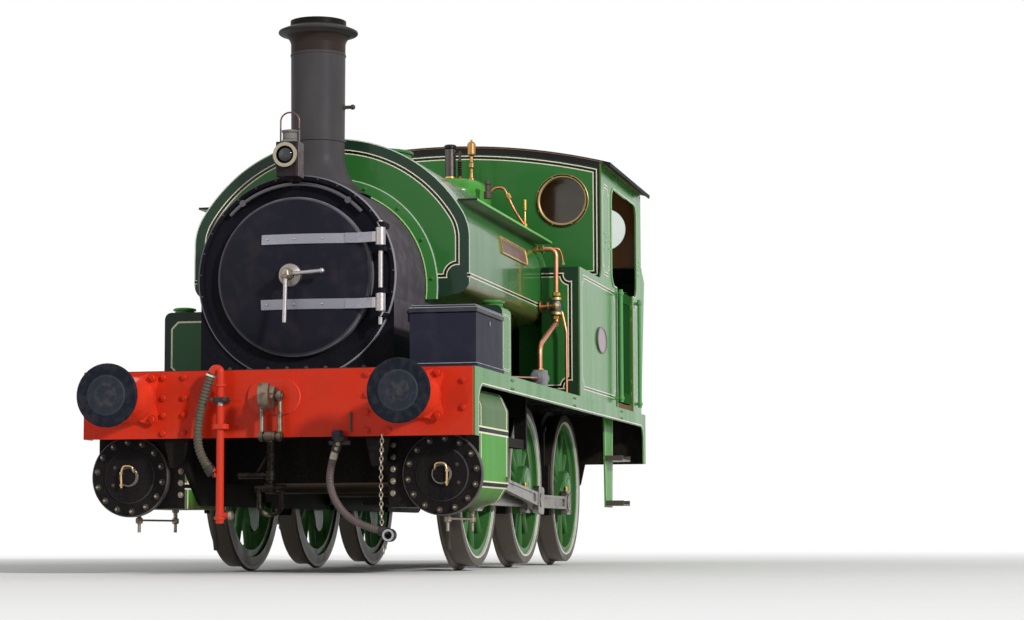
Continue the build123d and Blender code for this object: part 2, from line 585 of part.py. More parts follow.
# Boiler barrel, and the firebox with its round top and straight sides and the ashpan between the axles
FIREBOX_RADIUS = BOILER_RADIUS + 60
FIREBOX_REAR = CAB_FRONT + 620
GRATE_HALF = FIREBOX_RADIUS - 80
ASHPAN_HALF = FRAME_INNER - 110
ASHPAN_DEPTH = 746
AXLE_ROOM = 58
save("boiler", bar_y(back(TANK_FRONT), back(TANK_REAR), 0, BOILER_Z, BOILER_RADIUS))
firebox_profile = Pos(0, BOILER_Z) * Circle(FIREBOX_RADIUS)
firebox_profile += outline((-FIREBOX_RADIUS, BOILER_Z), (FIREBOX_RADIUS, BOILER_Z),
                           (FIREBOX_RADIUS, PLATE_TOP + 30), (GRATE_HALF, PLATE_TOP), (-GRATE_HALF, PLATE_TOP),
                           (-FIREBOX_RADIUS, PLATE_TOP + 30))
ashpan_front = back(max(TANK_REAR, AXLES[1] + AXLE_RADIUS + AXLE_ROOM))
ashpan_rear = back(min(FIREBOX_REAR, AXLES[2] - AXLE_RADIUS - AXLE_ROOM))
ashpan_bottom = PLATE_TOP - ASHPAN_DEPTH
firebox = across(firebox_profile & over_plate, back(TANK_REAR), back(FIREBOX_REAR))
firebox += along(outline((ashpan_front, PLATE_TOP + 10), (ashpan_rear, PLATE_TOP + 10),
                         (ashpan_rear, ashpan_bottom + 200), (ashpan_rear - 220, ashpan_bottom),
                         (ashpan_front + 120, ashpan_bottom), (ashpan_front, ashpan_bottom + 100)),
                 -ASHPAN_HALF, ASHPAN_HALF)
save("firebox", firebox)

# Saddle tank: arched over the boiler, with flat sides and a rolled lower edge, and an angle ring where its
# front meets the smokebox
TANK_CROWN = 1000
TANK_SHOULDER = 350
TANK_ROLL = 90
RING_GAP = 5
TANK_RING = 75
TANK_RING_DEPTH = 12
tank_top = BOILER_Z + TANK_RISE
tank_bottom = BOILER_Z - 82
tank_edge = BOILER_Z + 45
crown_centre = tank_top - TANK_CROWN
shoulder_z = crown_centre + sqrt((TANK_CROWN - TANK_SHOULDER) ** 2 - (TANK_HALF_WIDTH - TANK_SHOULDER) ** 2)


def tank_profile():
    """The shoulder arc is tangent to the flat side and to the crown arc."""
    side = TANK_HALF_WIDTH
    angle = atan2(shoulder_z - crown_centre, side - TANK_SHOULDER)
    meet = (TANK_CROWN * cos(angle), crown_centre + TANK_CROWN * sin(angle))
    bulge = (side - TANK_SHOULDER + TANK_SHOULDER * cos(angle / 2), shoulder_z + TANK_SHOULDER * sin(angle / 2))
    inner = BOILER_RADIUS + SEAT_GAP
    foot = sqrt(inner ** 2 - (BOILER_Z - tank_bottom) ** 2)
    roll_low = tank_edge - 96
    edges = [ThreePointArc((-meet[0], meet[1]), (0, tank_top), meet),
             ThreePointArc(meet, bulge, (side, shoulder_z)),
             Line((side, shoulder_z), (side, tank_edge)),
             ThreePointArc((side, tank_edge), (side - 26, tank_edge - 64), (side - TANK_ROLL, roll_low)),
             Line((side - TANK_ROLL, roll_low), (FIREBOX_RADIUS, tank_bottom)),
             Line((FIREBOX_RADIUS, tank_bottom), (foot, tank_bottom)),
             ThreePointArc((foot, tank_bottom), (0, BOILER_Z + inner), (-foot, tank_bottom)),
             Line((-foot, tank_bottom), (-FIREBOX_RADIUS, tank_bottom)),
             Line((-FIREBOX_RADIUS, tank_bottom), (TANK_ROLL - side, roll_low)),
             ThreePointArc((TANK_ROLL - side, roll_low), (26 - side, tank_edge - 64), (-side, tank_edge)),
             Line((-side, tank_edge), (-side, shoulder_z)),
             ThreePointArc((-side, shoulder_z), (-bulge[0], bulge[1]), (-meet[0], meet[1]))]
    return make_face(Wire(edges))


def tank_half_width(height):
    """Half width of the tank at a height on its shoulder."""
    return TANK_HALF_WIDTH - TANK_SHOULDER + sqrt(TANK_SHOULDER ** 2 - (height - shoulder_z) ** 2)


FILLER_AT = TANK_FRONT + TANK_LENGTH / 2
FILLER_RADIUS = 210
FILLER_WALL = 12
FILLER_HEIGHT = 70
filler_y = back(FILLER_AT)
filler_top = tank_top + FILLER_HEIGHT
tank = across(tank_profile(), back(TANK_FRONT), back(TANK_REAR))
tank -= bar_z(tank_top - 120, tank_top + 50, 0, filler_y, FILLER_RADIUS - FILLER_WALL)
ring_inner = SMOKEBOX_RADIUS + RING_GAP
tank_ring = Pos(0, BOILER_Z) * (Circle(ring_inner + TANK_RING) - Circle(ring_inner))
tank_ring &= Pos(0, tank_bottom + 2 * BOILER_RADIUS) * Rectangle(4 * SMOKEBOX_RADIUS, 4 * BOILER_RADIUS)
save("saddle_tank", tank + across(tank_ring, back(TANK_FRONT) - TANK_RING_DEPTH, back(TANK_FRONT)))

# Filler neck in the tank top with a hinged lid
LID_HINGE_X = 70
LID_PIN = 8
lid_hinge_y = filler_y + FILLER_RADIUS + 30
lid_hinge_z = filler_top + 12
neck_ring = bar_z(tank_top - 30, filler_top, 0, filler_y, FILLER_RADIUS)
neck_ring -= bar_z(tank_top - 140, filler_top + 1, 0, filler_y, FILLER_RADIUS - FILLER_WALL)
neck_ring -= tank
for x in (-LID_HINGE_X, LID_HINGE_X):
    neck_ring += block(x - 10, x + 10, filler_y + FILLER_RADIUS - 20, lid_hinge_y + 16, filler_top - 40,
                       filler_top)
    neck_ring += block(x - 10, x + 10, filler_y + FILLER_RADIUS - 4, lid_hinge_y + 16, filler_top - 4,
                       lid_hinge_z + 14)
neck_ring -= bar_x(-100, 100, lid_hinge_y, lid_hinge_z, LID_PIN + HINGE_FIT)
save("filler_neck", neck_ring)
lid = turned([(0, filler_top + SEAT_GAP), (FILLER_RADIUS + 14, filler_top + SEAT_GAP),
              (FILLER_RADIUS + 14, filler_top + 14), (FILLER_RADIUS + 8, filler_top + 20),
              (0, filler_top + 26)], 0, filler_y, 0)
for x in (-LID_HINGE_X, LID_HINGE_X):
    lid -= block(x - 14, x + 14, filler_y + FILLER_RADIUS - 10, lid_hinge_y + 30, filler_top - 50,
                 lid_hinge_z + 40)
lid += block(-52, 52, filler_y + 150, lid_hinge_y, filler_top + SEAT_GAP, filler_top + 22)
lid += bar_x(-86, 86, lid_hinge_y, lid_hinge_z, LID_PIN) + bar_x(-54, 54, lid_hinge_y, lid_hinge_z, 15)
save("filler_lid", lid)

# Boards along the tank's shoulders
BOARD_RISE = 555
BOARD_INNER = 780
BOARD_OUTER = 922
BOARD_THICKNESS = 14
BOARD_SHIFT = 120
board_z = BOILER_Z + BOARD_RISE
board = block(BOARD_INNER, BOARD_OUTER, back(TANK_FRONT + BOARD_SHIFT), back(TANK_REAR + BOARD_SHIFT),
              board_z - BOARD_THICKNESS / 2, board_z + BOARD_THICKNESS / 2)
board -= tank
save("tank_boards", *both_sides(board))

# Dome casing between tank and cab, with the safety valves and the whistle on it
CASING_HALF = 410
CASING_RISE = 1055
CASING_ROUNDING = 110
VALVE_X = 113
BALANCE_X = 185
WHISTLE_X = 288
casing_top = BOILER_Z + CASING_RISE
dome_y = (back(TANK_REAR) + back(CAB_FRONT)) / 2
casing = flat(Pos(0, dome_y) * RectangleRounded(2 * CASING_HALF, DOME_SPACE - 30, 290), BOILER_Z + 200,
              casing_top)
casing = fillet(casing.faces().sort_by(Axis.Z)[-1].edges(), CASING_ROUNDING)
casing -= bar_y(back(TANK_REAR) - 10, back(CAB_FRONT) + 10, 0, BOILER_Z, FIREBOX_RADIUS + SEAT_GAP)
save("dome_casing", casing)
valve = turned([(0, casing_top), (64, casing_top), (64, casing_top + 16), (44, casing_top + 26),
                (40, casing_top + 40), (40, casing_top + 244), (47, casing_top + 250), (47, casing_top + 270),
                (38, casing_top + 277), (0, casing_top + 277)], VALVE_X, dome_y, 0)
coils = [(0, casing_top), (26, casing_top), (26, casing_top + 22)]
for n in range(7):
    coils += [(12, casing_top + 30 + 18 * n), (19, casing_top + 39 + 18 * n)]
coils += [(12, casing_top + 160), (9, casing_top + 180), (9, casing_top + 229), (0, casing_top + 229)]
balance = turned(coils, BALANCE_X, dome_y, 0) + bar_x(VALVE_X + 30, BALANCE_X + 16, dome_y, casing_top + 206, 9)
save("safety_valves", valve + balance)
whistle = [(0, 0), (24, 0), (24, 12), (13, 20), (11, 84), (20, 94), (20, 122), (12, 134), (12, 176), (30, 188),
           (31, 196), (31, 268), (22, 282), (8, 288), (8, 300), (0, 302)]
save("whistle", turned([(radius, casing_top + height) for radius, height in whistle], WHISTLE_X, dome_y - 60,
                       0))

# Cab sides: bunker front, doorway with the opening above it, and a rear edge that leans back to the waist.
# Half-round beading runs round the opening.
ROOF_SHEET = 14
ROOF_HALF_WIDTH = CAB_HALF_WIDTH + ROOF_OVERHANG
BUNKER_FRONT = CAB_FRONT - 870
BUNKER_FOOT = CAB_REAR - 40
BUNKER_REAR = CAB_REAR + 156
BUNKER_HIP = WAIST + 165
BUNKER_SHOULDER = WAIST + 275
OPENING_FRONT = CAB_FRONT + 410
OPENING_REAR = CAB_REAR - 240
OPENING_TOP = PLATE_TOP + 1659
OPENING_ROUNDING = 110
DOORWAY_FRONT = CAB_FRONT + 620
DOORWAY_REAR = CAB_FRONT + 1350
COAL_FRONT = DOORWAY_REAR + 70
COAL_TOP = WAIST - 185
FLOOR_TOP = PLATE_TOP + 40
WAIST_CURVE = 110
BEAD_WIDTH = 12
BEAD_DEPTH = 7
roof_top = PLATE_TOP + ROOF_HEIGHT
roof_radius = (ROOF_HALF_WIDTH ** 2 + ROOF_RISE ** 2) / (2 * ROOF_RISE)
roof_centre = roof_top - roof_radius
eaves = roof_centre + sqrt((roof_radius - ROOF_SHEET) ** 2 - CAB_HALF_WIDTH ** 2)
inner_half = CAB_HALF_WIDTH - SHEET


def cab_side():
    sheet = outline((back(BUNKER_FRONT), PLATE_TOP), (back(BUNKER_FOOT), PLATE_TOP),
                    (back(BUNKER_REAR), BUNKER_HIP), (back(CAB_REAR), BUNKER_SHOULDER), (back(CAB_REAR), eaves),
                    (back(CAB_FRONT), eaves), (back(CAB_FRONT), WAIST), (back(BUNKER_FRONT), WAIST))
    waist_corner = (back(CAB_FRONT), WAIST)
    sheet = rounded(sheet, WAIST_CURVE, lambda corner: dist((corner.X, corner.Y), waist_corner) < 1)
    window = Pos((back(OPENING_FRONT) + back(OPENING_REAR)) / 2, (WAIST + OPENING_TOP) / 2)
    window *= RectangleRounded(OPENING_REAR - OPENING_FRONT, OPENING_TOP - WAIST, OPENING_ROUNDING)
    doorway = Pos(back((DOORWAY_FRONT + DOORWAY_REAR) / 2), (PLATE_TOP + WAIST) / 2 + 60)
    doorway *= Rectangle(DOORWAY_REAR - DOORWAY_FRONT, WAIST - PLATE_TOP + 120)
    opening = window + doorway
    bead = (offset(opening, BEAD_WIDTH) - opening) & sheet
    side = along(sheet - opening, inner_half, CAB_HALF_WIDTH)
    return side + along(bead, CAB_HALF_WIDTH, CAB_HALF_WIDTH + BEAD_DEPTH)


# Cab front and rear sheets with round windows, and the roof with its turned-down edges
WINDOW_X = CAB_HALF_WIDTH - 295
WINDOW_Z = PLATE_TOP + 1514
WINDOW_RADIUS = 178
ROOF_FRONT_LAP = 10
ROOF_REAR_LAP = 35
ROOF_LIP = 26


def end_sheet(foot):
    sheet = outline((-inner_half, foot), (inner_half, foot), (inner_half, roof_top), (-inner_half, roof_top))
    sheet &= Pos(0, roof_centre) * Circle(roof_radius - ROOF_SHEET)
    for x in (-WINDOW_X, WINDOW_X):
        sheet -= Pos(x, WINDOW_Z) * Circle(WINDOW_RADIUS)
    return sheet


front_sheet = end_sheet(WAIST) - Pos(0, BOILER_Z) * Circle(FIREBOX_RADIUS + SEAT_GAP)
save("cab_front_sheet", across(front_sheet, back(CAB_FRONT), back(CAB_FRONT) + SHEET))
save("cab_rear_sheet", across(end_sheet(BUNKER_SHOULDER), back(CAB_REAR) - SHEET, back(CAB_REAR)))
roof_section = Pos(0, roof_centre) * (Circle(roof_radius) - Circle(roof_radius - ROOF_SHEET))
roof_section &= Pos(0, roof_top) * Rectangle(2 * ROOF_HALF_WIDTH, 900)
roof_eaves = roof_top - ROOF_RISE
for x in (-1, 1):
    roof_section += outline((x * ROOF_HALF_WIDTH, roof_eaves), (x * (ROOF_HALF_WIDTH - 12), roof_eaves),
                            (x * (ROOF_HALF_WIDTH - 12), roof_eaves - ROOF_LIP),
                            (x * ROOF_HALF_WIDTH, roof_eaves - ROOF_LIP))
save("cab_roof", across(roof_section, back(CAB_FRONT - ROOF_FRONT_LAP), back(CAB_REAR + ROOF_REAR_LAP)))

# Window rings and glass
GLASS = 6
rings = []
glass = []
for x in (-WINDOW_X, WINDOW_X):
    for face, turn in ((back(CAB_FRONT), 180), (back(CAB_REAR), 0)):
        ring = turned([(WINDOW_RADIUS - 8, 0), (WINDOW_RADIUS + 24, 0), (WINDOW_RADIUS + 24, 6),
                       (WINDOW_RADIUS + 16, 13), (WINDOW_RADIUS, 13), (WINDOW_RADIUS - 8, 6)], direction="Y")
        place = Pos(x, face, WINDOW_Z) * Rot(0, 0, turn)
        rings.append(place * ring)
        glass.append(place * bar_y(-SHEET / 2 - GLASS / 2, -SHEET / 2 + GLASS / 2, 0, 0,
                                   WINDOW_RADIUS - SEAT_GAP))
save("window_rings", *rings)
save("window_glass", *glass)

# Side bunkers beside the firebox, cab floor and the rear bunker
BUNKER_INNER = FIREBOX_RADIUS + 60
BUNKER_TANK_GAP = 6
bunker = block(BUNKER_INNER, inner_half, back(BUNKER_FRONT), back(CAB_FRONT), PLATE_TOP, WAIST)
bunker -= block(0, TANK_HALF_WIDTH + BUNKER_TANK_GAP, back(BUNKER_FRONT) - 1, back(TANK_REAR) + BUNKER_TANK_GAP,
                PLATE_TOP + 40, WAIST + 1)
save("side_bunkers", *both_sides(bunker))
floor = block(-inner_half, inner_half, back(CAB_FRONT), back(COAL_FRONT), PLATE_TOP, FLOOR_TOP)
floor -= block(-FIREBOX_RADIUS - 1, FIREBOX_RADIUS + 1, back(CAB_FRONT) - 1, back(FIREBOX_REAR) + SEAT_GAP,
               PLATE_TOP - 1, FLOOR_TOP + 1)
save("cab_floor", floor)
coal_profile = outline((back(COAL_FRONT), PLATE_TOP), (back(BUNKER_FOOT), PLATE_TOP),
                       (back(BUNKER_REAR), BUNKER_HIP), (back(CAB_REAR), BUNKER_SHOULDER),
                       (back(COAL_FRONT), BUNKER_SHOULDER))
coal_profile -= offset(coal_profile, -SHEET, kind=Kind.INTERSECTION)
mouth_middle = (back(COAL_FRONT) + back(CAB_REAR) - SHEET) / 2
coal_profile -= Pos(mouth_middle, COAL_TOP + 500) * Rectangle(CAB_REAR - SHEET - COAL_FRONT, 1000)
save("rear_bunker", along(coal_profile, -inner_half, inner_half))

# Cab doors: half-height, hung on the rear edge of the doorway. The post with their hinge eyes is riveted to
# the side.
DOOR_THICKNESS = 26
DOOR_PANEL = 6
DOOR_PIN = 8
door_top = WAIST - 8
door_x = inner_half - DOOR_THICKNESS / 2
door_hinge_y = back(DOORWAY_REAR) - 16
door_front = back(DOORWAY_FRONT) + 8


def cab_door():
    leaf = block(door_x - DOOR_THICKNESS / 2, inner_half, door_front, door_hinge_y - 14, FLOOR_TOP + 12,
                 door_top)
    leaf -= block(inner_half - DOOR_PANEL, inner_half + 1, door_front + 60, door_hinge_y - 74, FLOOR_TOP + 90,
                  door_top - 80)
    for height in (FLOOR_TOP + 120, door_top - 160):
        leaf += block(door_x - 8, door_x + 8, door_hinge_y - 20, door_hinge_y, height, height + 60)
        leaf += bar_z(height, height + 60, door_x, door_hinge_y, 13)
    leaf += bar_z(FLOOR_TOP + 90, door_top - 60, door_x, door_hinge_y, DOOR_PIN)
    return leaf


left_door, right_door = both_sides(cab_door())
save("cab_door_left", left_door)
save("cab_door_right", right_door)
post = block(door_x - 14, inner_half, door_hinge_y + 19, back(DOORWAY_REAR) + 44, FLOOR_TOP, door_top)
for height in (FLOOR_TOP + 86, FLOOR_TOP + 184, door_top - 196, door_top - 96):
    post += bar_z(height, height + 30, door_x, door_hinge_y, 12)
    post += block(door_x - 12, door_x + 12, door_hinge_y, door_hinge_y + 20, height, height + 30)
post -= bar_z(FLOOR_TOP + 60, door_top, door_x, door_hinge_y, DOOR_PIN + HINGE_FIT)
left_side, right_side = both_sides(cab_side() + post)
save("cab_side_left", left_side)
save("cab_side_right", right_side)

# Handrails beside the doorway, each on two pillars
RAIL_RADIUS = 15
RAIL_STANDOFF = 45
rail_x = CAB_HALF_WIDTH + RAIL_STANDOFF
handrails = []
for place in (DOORWAY_FRONT - 60, DOORWAY_REAR + 60):
    rail = bar_z(PLATE_TOP + 34, WAIST - 25, rail_x, back(place), RAIL_RADIUS)
    for height in (PLATE_TOP + 64, WAIST - 55):
        rail += bar_x(CAB_HALF_WIDTH, rail_x, back(place), height, 12) + Pos(rail_x, back(place),
                                                                             height) * Sphere(22)
    handrails += both_sides(rail)
save("cab_handrails", *handrails)

# Fittings on the firebox back: fire door with its ring, regulator and handle, two water gauges and the
# manifold
FIRE_DOOR_RISE = 319
backhead = back(FIREBOX_REAR)
fire_door_z = PLATE_TOP + FIRE_DOOR_RISE
fittings = bar_y(backhead, backhead + 26, 0, fire_door_z, 200)
fittings += bar_y(backhead, backhead + 44, 0, fire_door_z, 168)
fittings += block(-26, 26, backhead, backhead + 44, BOILER_Z - 120, BOILER_Z + 360)
fittings += turned([(0, 0), (58, 0), (58, 30), (34, 40), (34, 96), (0, 96)], 0, backhead, BOILER_Z + 340, "Y")
fittings += rod((0, backhead + 84, BOILER_Z + 340), (300, backhead + 84, BOILER_Z + 250), 14)
fittings += Pos(300, backhead + 84, BOILER_Z + 250) * Sphere(26)
for x in (-240, 240):
    fittings += bar_z(BOILER_Z - 10, BOILER_Z + 240, x, backhead + 60, 16)
    for height in (BOILER_Z + 20, BOILER_Z + 210):
        fittings += bar_y(backhead, backhead + 76, x, height, 26)
fittings += block(-260, 260, backhead, backhead + 20, BOILER_Z + 96, BOILER_Z + 124)
save("backhead_fittings", fittings)

# Sandboxes ahead of the leading wheels, each on a plinth and with a round lid
SAND_FRONT = TANK_FRONT + 10
SAND_LENGTH = 250
SAND_ROUNDING = 45
SAND_LID_INSET = 88
sand_outer = HALF_PLATE - 85
sand_inner = BOILER_RADIUS + 68
sand_top = tank_bottom - 43
sand_profile = outline((sand_inner, PLATE_TOP), (sand_outer, PLATE_TOP), (sand_outer, sand_top),
                       (sand_inner, sand_top))
sand_profile = rounded(sand_profile, SAND_ROUNDING, lambda corner: abs(corner.Y - sand_top) < 1)
sand = across(sand_profile, back(SAND_FRONT), back(SAND_FRONT + SAND_LENGTH))
sand += block(sand_inner - 10, sand_outer + 10, back(SAND_FRONT) - 8, back(SAND_FRONT + SAND_LENGTH) + 8,
              PLATE_TOP, PLATE_TOP + 16)
sand_lid = [(0, 0), (62, 0), (62, 18), (74, 20), (74, 32), (60, 38), (18, 40), (18, 42), (0, 42)]
sand += turned([(radius, sand_top + height) for radius, height in sand_lid], sand_outer - SAND_LID_INSET,
               back(SAND_FRONT + SAND_LENGTH / 2), 0)
save("sandboxes", *both_sides(sand))

# Toolbox on the left-hand running plate, hollow, with a moulded plinth and a lid hinged on its inner edge
BOX_FRONT = 125
BOX_LENGTH = 700
BOX_WIDTH = 396
BOX_HEIGHT = 322
BOX_WALL = 12
BOX_PIN = 6
LID_HEIGHT = 42
PLINTH = 26
box_outer = HALF_PLATE - 14
box_inner = box_outer - BOX_WIDTH
box_front = back(BOX_FRONT)
box_rear = back(BOX_FRONT + BOX_LENGTH)
box_top = PLATE_TOP + BOX_HEIGHT
box_hinge_x = box_inner - 16
box_hinge_z = box_top + 6
box_hinges = (box_front + 100, box_rear - 100)
box = block(box_inner, box_outer, box_front, box_rear, PLATE_TOP, box_top)
box += block(box_inner - 8, box_outer + 8, box_front - 8, box_rear + 8, PLATE_TOP, PLATE_TOP + PLINTH)
box -= block(box_inner + BOX_WALL, box_outer - BOX_WALL, box_front + BOX_WALL, box_rear - BOX_WALL,
             PLATE_TOP + BOX_WALL, box_top + 1)
box_lid = block(box_inner - 4, box_outer + 8, box_front - 8, box_rear + 4, box_top + SEAT_GAP,
                box_top + LID_HEIGHT - 14)
box_lid += block(box_inner + 8, box_outer - 4, box_front + 4, box_rear - 8, box_top + LID_HEIGHT - 14,
                 box_top + LID_HEIGHT)
for y in box_hinges:
    box_lid += bar_y(y - 30, y + 30, box_hinge_x, box_hinge_z, 12)
    box_lid += block(box_hinge_x, box_inner, y - 30, y + 30, box_hinge_z, box_hinge_z + 10)
    box_lid += bar_y(y - 60, y + 60, box_hinge_x, box_hinge_z, BOX_PIN)
    for near, far in ((y - 60, y - 34), (y + 34, y + 60)):
        box += bar_y(near, far, box_hinge_x, box_hinge_z, 12)
        box += block(box_hinge_x - 6, box_inner, near, far, box_top - 50, box_hinge_z)
for y in box_hinges:
    box -= bar_y(y - 70, y + 70, box_hinge_x, box_hinge_z, BOX_PIN + HINGE_FIT)
    for near, far in ((y - 66, y - 31), (y + 31, y + 66)):
        box_lid -= block(box_hinge_x - 14, box_inner + 1, near, far, box_top - 1,
                         box_top + LID_HEIGHT + 1) - bar_y(y - 60, y + 60, box_hinge_x, box_hinge_z, BOX_PIN)
save("toolbox", box)
save("toolbox_lid", box_lid)

# Planes of the motion, outwards from the wheels: the coupling rods, then the connecting rods in line with the
# cylinders
WHEEL_BACK = BACK_TO_BACK / 2
WHEEL_FACE = WHEEL_BACK + TYRE_WIDTH
HUB_PROUD = 14
ROD_CLEARANCE = 8
ROD_THICKNESS = 42
MOTION_PITCH = 73
MOTION_CLEARANCE = 6
ROD_LENGTH = 1400
CON_ROD_DEPTH = 46
SLIPPER_LENGTH = 280
hub_face = WHEEL_FACE + HUB_PROUD
rod_inner = hub_face + ROD_CLEARANCE
rod_outer = rod_inner + ROD_THICKNESS
cylinder_x = rod_outer + MOTION_PITCH
driving = AXLES[1]

# Cylinders: cladding with a flat side, a front cover with its rim, ring and boss, and the bore for the piston
# rod
COVER_RADIUS = 240
PISTON_ROD_RADIUS = 30
GLAND_REAR = 1110
CLADDING_ROUNDING = 50
cladding_outline = outline((FRAME_OUTER, AXLE_Z - 190), (cylinder_x + 30, AXLE_Z - 190),
                           (cylinder_x + 150, AXLE_Z - 150), (cylinder_x + 210, AXLE_Z - 50),
                           (cylinder_x + 210, AXLE_Z + 400), (cylinder_x + 160, AXLE_Z + 510),
                           (FRAME_OUTER, AXLE_Z + 510))
cladding_outline = rounded(cladding_outline, CLADDING_ROUNDING, lambda corner: corner.X > cylinder_x + 60)
cylinder = across(cladding_outline, back(CYLINDER_FRONT), back(CYLINDER_REAR))
cover = [(0, 0), (COVER_RADIUS, 0), (COVER_RADIUS, 34), (COVER_RADIUS - 10, 40), (160, 40), (150, 52), (60, 52),
         (56, 72), (0, 72)]
cylinder += Pos(cylinder_x, back(CYLINDER_FRONT), AXLE_Z) * (Rot(0, 0, 180) * turned(cover, direction="Y"))
cylinder += bar_y(back(CYLINDER_REAR), back(CYLINDER_REAR + 36), cylinder_x, AXLE_Z, 190)
cylinder += bar_y(back(CYLINDER_REAR + 36), back(GLAND_REAR), cylinder_x, AXLE_Z, 70)
cylinder -= bar_y(back(CYLINDER_FRONT + 120), back(GLAND_REAR) + 1, cylinder_x, AXLE_Z,
                  PISTON_ROD_RADIUS + ROD_FIT)
save("cylinders", *both_sides(cylinder))

# Slide bars above the piston rods, high enough for the connecting rods' swing, carried by the rear cylinder
# cover and a bracket from the frame
SLIDE_BAR_HALF = 30
SLIDE_BAR_DEPTH = 60
SLIDE_BAR_RUNOUT = 236
BRACKET = 40
BRACKET_CLEARANCE = 66
ROD_END_HALF = 86
OIL_CUP = 24
slide_bar_rear = driving - ROD_LENGTH + CRANK_THROW + SLIPPER_LENGTH / 2 + SLIDE_BAR_RUNOUT
furthest_forward = driving - ROD_LENGTH - CRANK_THROW
steepest = asin(CRANK_THROW / ROD_LENGTH)
rod_rise = (slide_bar_rear - furthest_forward) * tan(steepest) + CON_ROD_DEPTH
slide_bar_bottom = AXLE_Z + rod_rise + MOTION_CLEARANCE
slide_bar_top = slide_bar_bottom + SLIDE_BAR_DEPTH
bracket_foot = AXLE_Z + CRANK_THROW + ROD_END_HALF + OIL_CUP + BRACKET_CLEARANCE
slide_bar = block(cylinder_x - SLIDE_BAR_HALF, cylinder_x + SLIDE_BAR_HALF, back(CYLINDER_REAR),
                  back(slide_bar_rear), slide_bar_bottom, slide_bar_top)
slide_bar += block(cylinder_x - SLIDE_BAR_HALF - 10, cylinder_x + SLIDE_BAR_HALF + 10,
                   back(slide_bar_rear) - BRACKET, back(slide_bar_rear), slide_bar_bottom, PLATE_UNDER)
slide_bar += block(FRAME_OUTER, cylinder_x, back(slide_bar_rear) - BRACKET, back(slide_bar_rear), bracket_foot,
                   PLATE_UNDER)
save("slide_bars", *both_sides(slide_bar))

# Wheels: tapered round spokes between hub and rim, tyres, crank webs and crescent balance weights, on one
# axle
TYRE_DEPTH = 62
RIM_THICKNESS = 44
RIM_INSET = 14
HUB_RADIUS = 128
SPOKES = 12
SPOKE_ROOT = 30
SPOKE_TIP = 22
CRANK_BOSS = 92
WEIGHT_CURVE = 700
WEIGHT_THICKNESS = 64
PIN_COLLAR = 62
tyre_inner = WHEEL_DIAMETER / 2 - TYRE_DEPTH
rim_inner = tyre_inner - RIM_THICKNESS
upwards = (Align.CENTER, Align.CENTER, Align.MIN)


def wheel(crank_degrees, pin_reach, weight_depth):
    """Wheel on the +X side, its axle at the origin. The crank angle turns from the front towards the ground."""
    tread = WHEEL_DIAMETER / 2
    flange = tread + FLANGE_HEIGHT
    hub_depth = hub_face - WHEEL_BACK
    solid = turned([(rim_inner, RIM_INSET), (tyre_inner, RIM_INSET), (tyre_inner, 0), (flange - 10, 0),
                    (flange, 10), (flange, FLANGE_WIDTH - 12), (tread, FLANGE_WIDTH), (tread, TYRE_WIDTH - 6),
                    (tread - 6, TYRE_WIDTH), (tyre_inner, TYRE_WIDTH), (tyre_inner, TYRE_WIDTH - RIM_INSET),
                    (rim_inner, TYRE_WIDTH - RIM_INSET)])
    solid += turned([(0, 0), (HUB_RADIUS, 0), (HUB_RADIUS, hub_depth - 12), (HUB_RADIUS - 12, hub_depth),
                     (0, hub_depth)])
    spoke_length = rim_inner + 6 - (HUB_RADIUS - 14)
    spoke = Rot(0, 90, 0) * Cone(SPOKE_ROOT, SPOKE_TIP, spoke_length)
    spoke = Pos(HUB_RADIUS - 14 + spoke_length / 2, 0, TYRE_WIDTH / 2) * spoke
    for n in range(SPOKES):
        solid += Rot(0, 0, (n + 0.5) * 360 / SPOKES) * spoke
    web = outline((0, -HUB_RADIUS + 18), (CRANK_THROW, -CRANK_BOSS + 8), (CRANK_THROW, CRANK_BOSS - 8),
                  (0, HUB_RADIUS - 18))
    solid += flat(web, 30, hub_depth - 14)
    solid += Pos(CRANK_THROW, 0, 30) * Cylinder(CRANK_BOSS, hub_depth - 30, align=upwards)
    solid += Pos(CRANK_THROW, 0, hub_depth - 4) * Cylinder(CRANK_PIN_RADIUS, pin_reach + 4, align=upwards)
    collar_start = rod_outer + 1.5 - WHEEL_BACK
    solid += Pos(CRANK_THROW, 0, collar_start) * Cylinder(PIN_COLLAR, hub_depth + pin_reach - collar_start,
                                                          align=upwards)
    crescent = Circle(rim_inner + 3) - Pos(WEIGHT_CURVE + weight_depth - rim_inner, 0) * Circle(WEIGHT_CURVE)
    solid += flat(crescent, 40, 40 + WEIGHT_THICKNESS)
    # The wheel is made about Z with its crank along +X, then laid over so that Z becomes +X and +X becomes -Y.
    solid = Rot(0, 90, 0) * (Rot(0, 0, -90) * solid)
    return Pos(WHEEL_BACK, 0, 0) * (Rot(crank_degrees, 0, 0) * solid)


def wheelset(axle_place, pin_reach, weight_depth):
    left = wheel(CRANK_ANGLE, pin_reach, weight_depth)
    right = mirror(wheel(CRANK_ANGLE + 90, pin_reach, weight_depth), about=Plane.YZ)
    axle = bar_x(-WHEEL_BACK - 20, WHEEL_BACK + 20, 0, 0, AXLE_RADIUS)
    return Pos(0, back(axle_place), AXLE_Z) * (left + right + axle)


CON_ROD_HALF = 22
BIG_END_PLUG = 4
PIN_END_GAP = 3
pin_reach = rod_outer + 6 - hub_face
driving_pin_reach = cylinder_x - CON_ROD_HALF - BIG_END_PLUG - PIN_END_GAP - hub_face
save("leading_wheelset", wheelset(AXLES[0], pin_reach, 84))
save("driving_wheelset", wheelset(AXLES[1], driving_pin_reach, 118))
save("trailing_wheelset", wheelset(AXLES[2], pin_reach, 84))


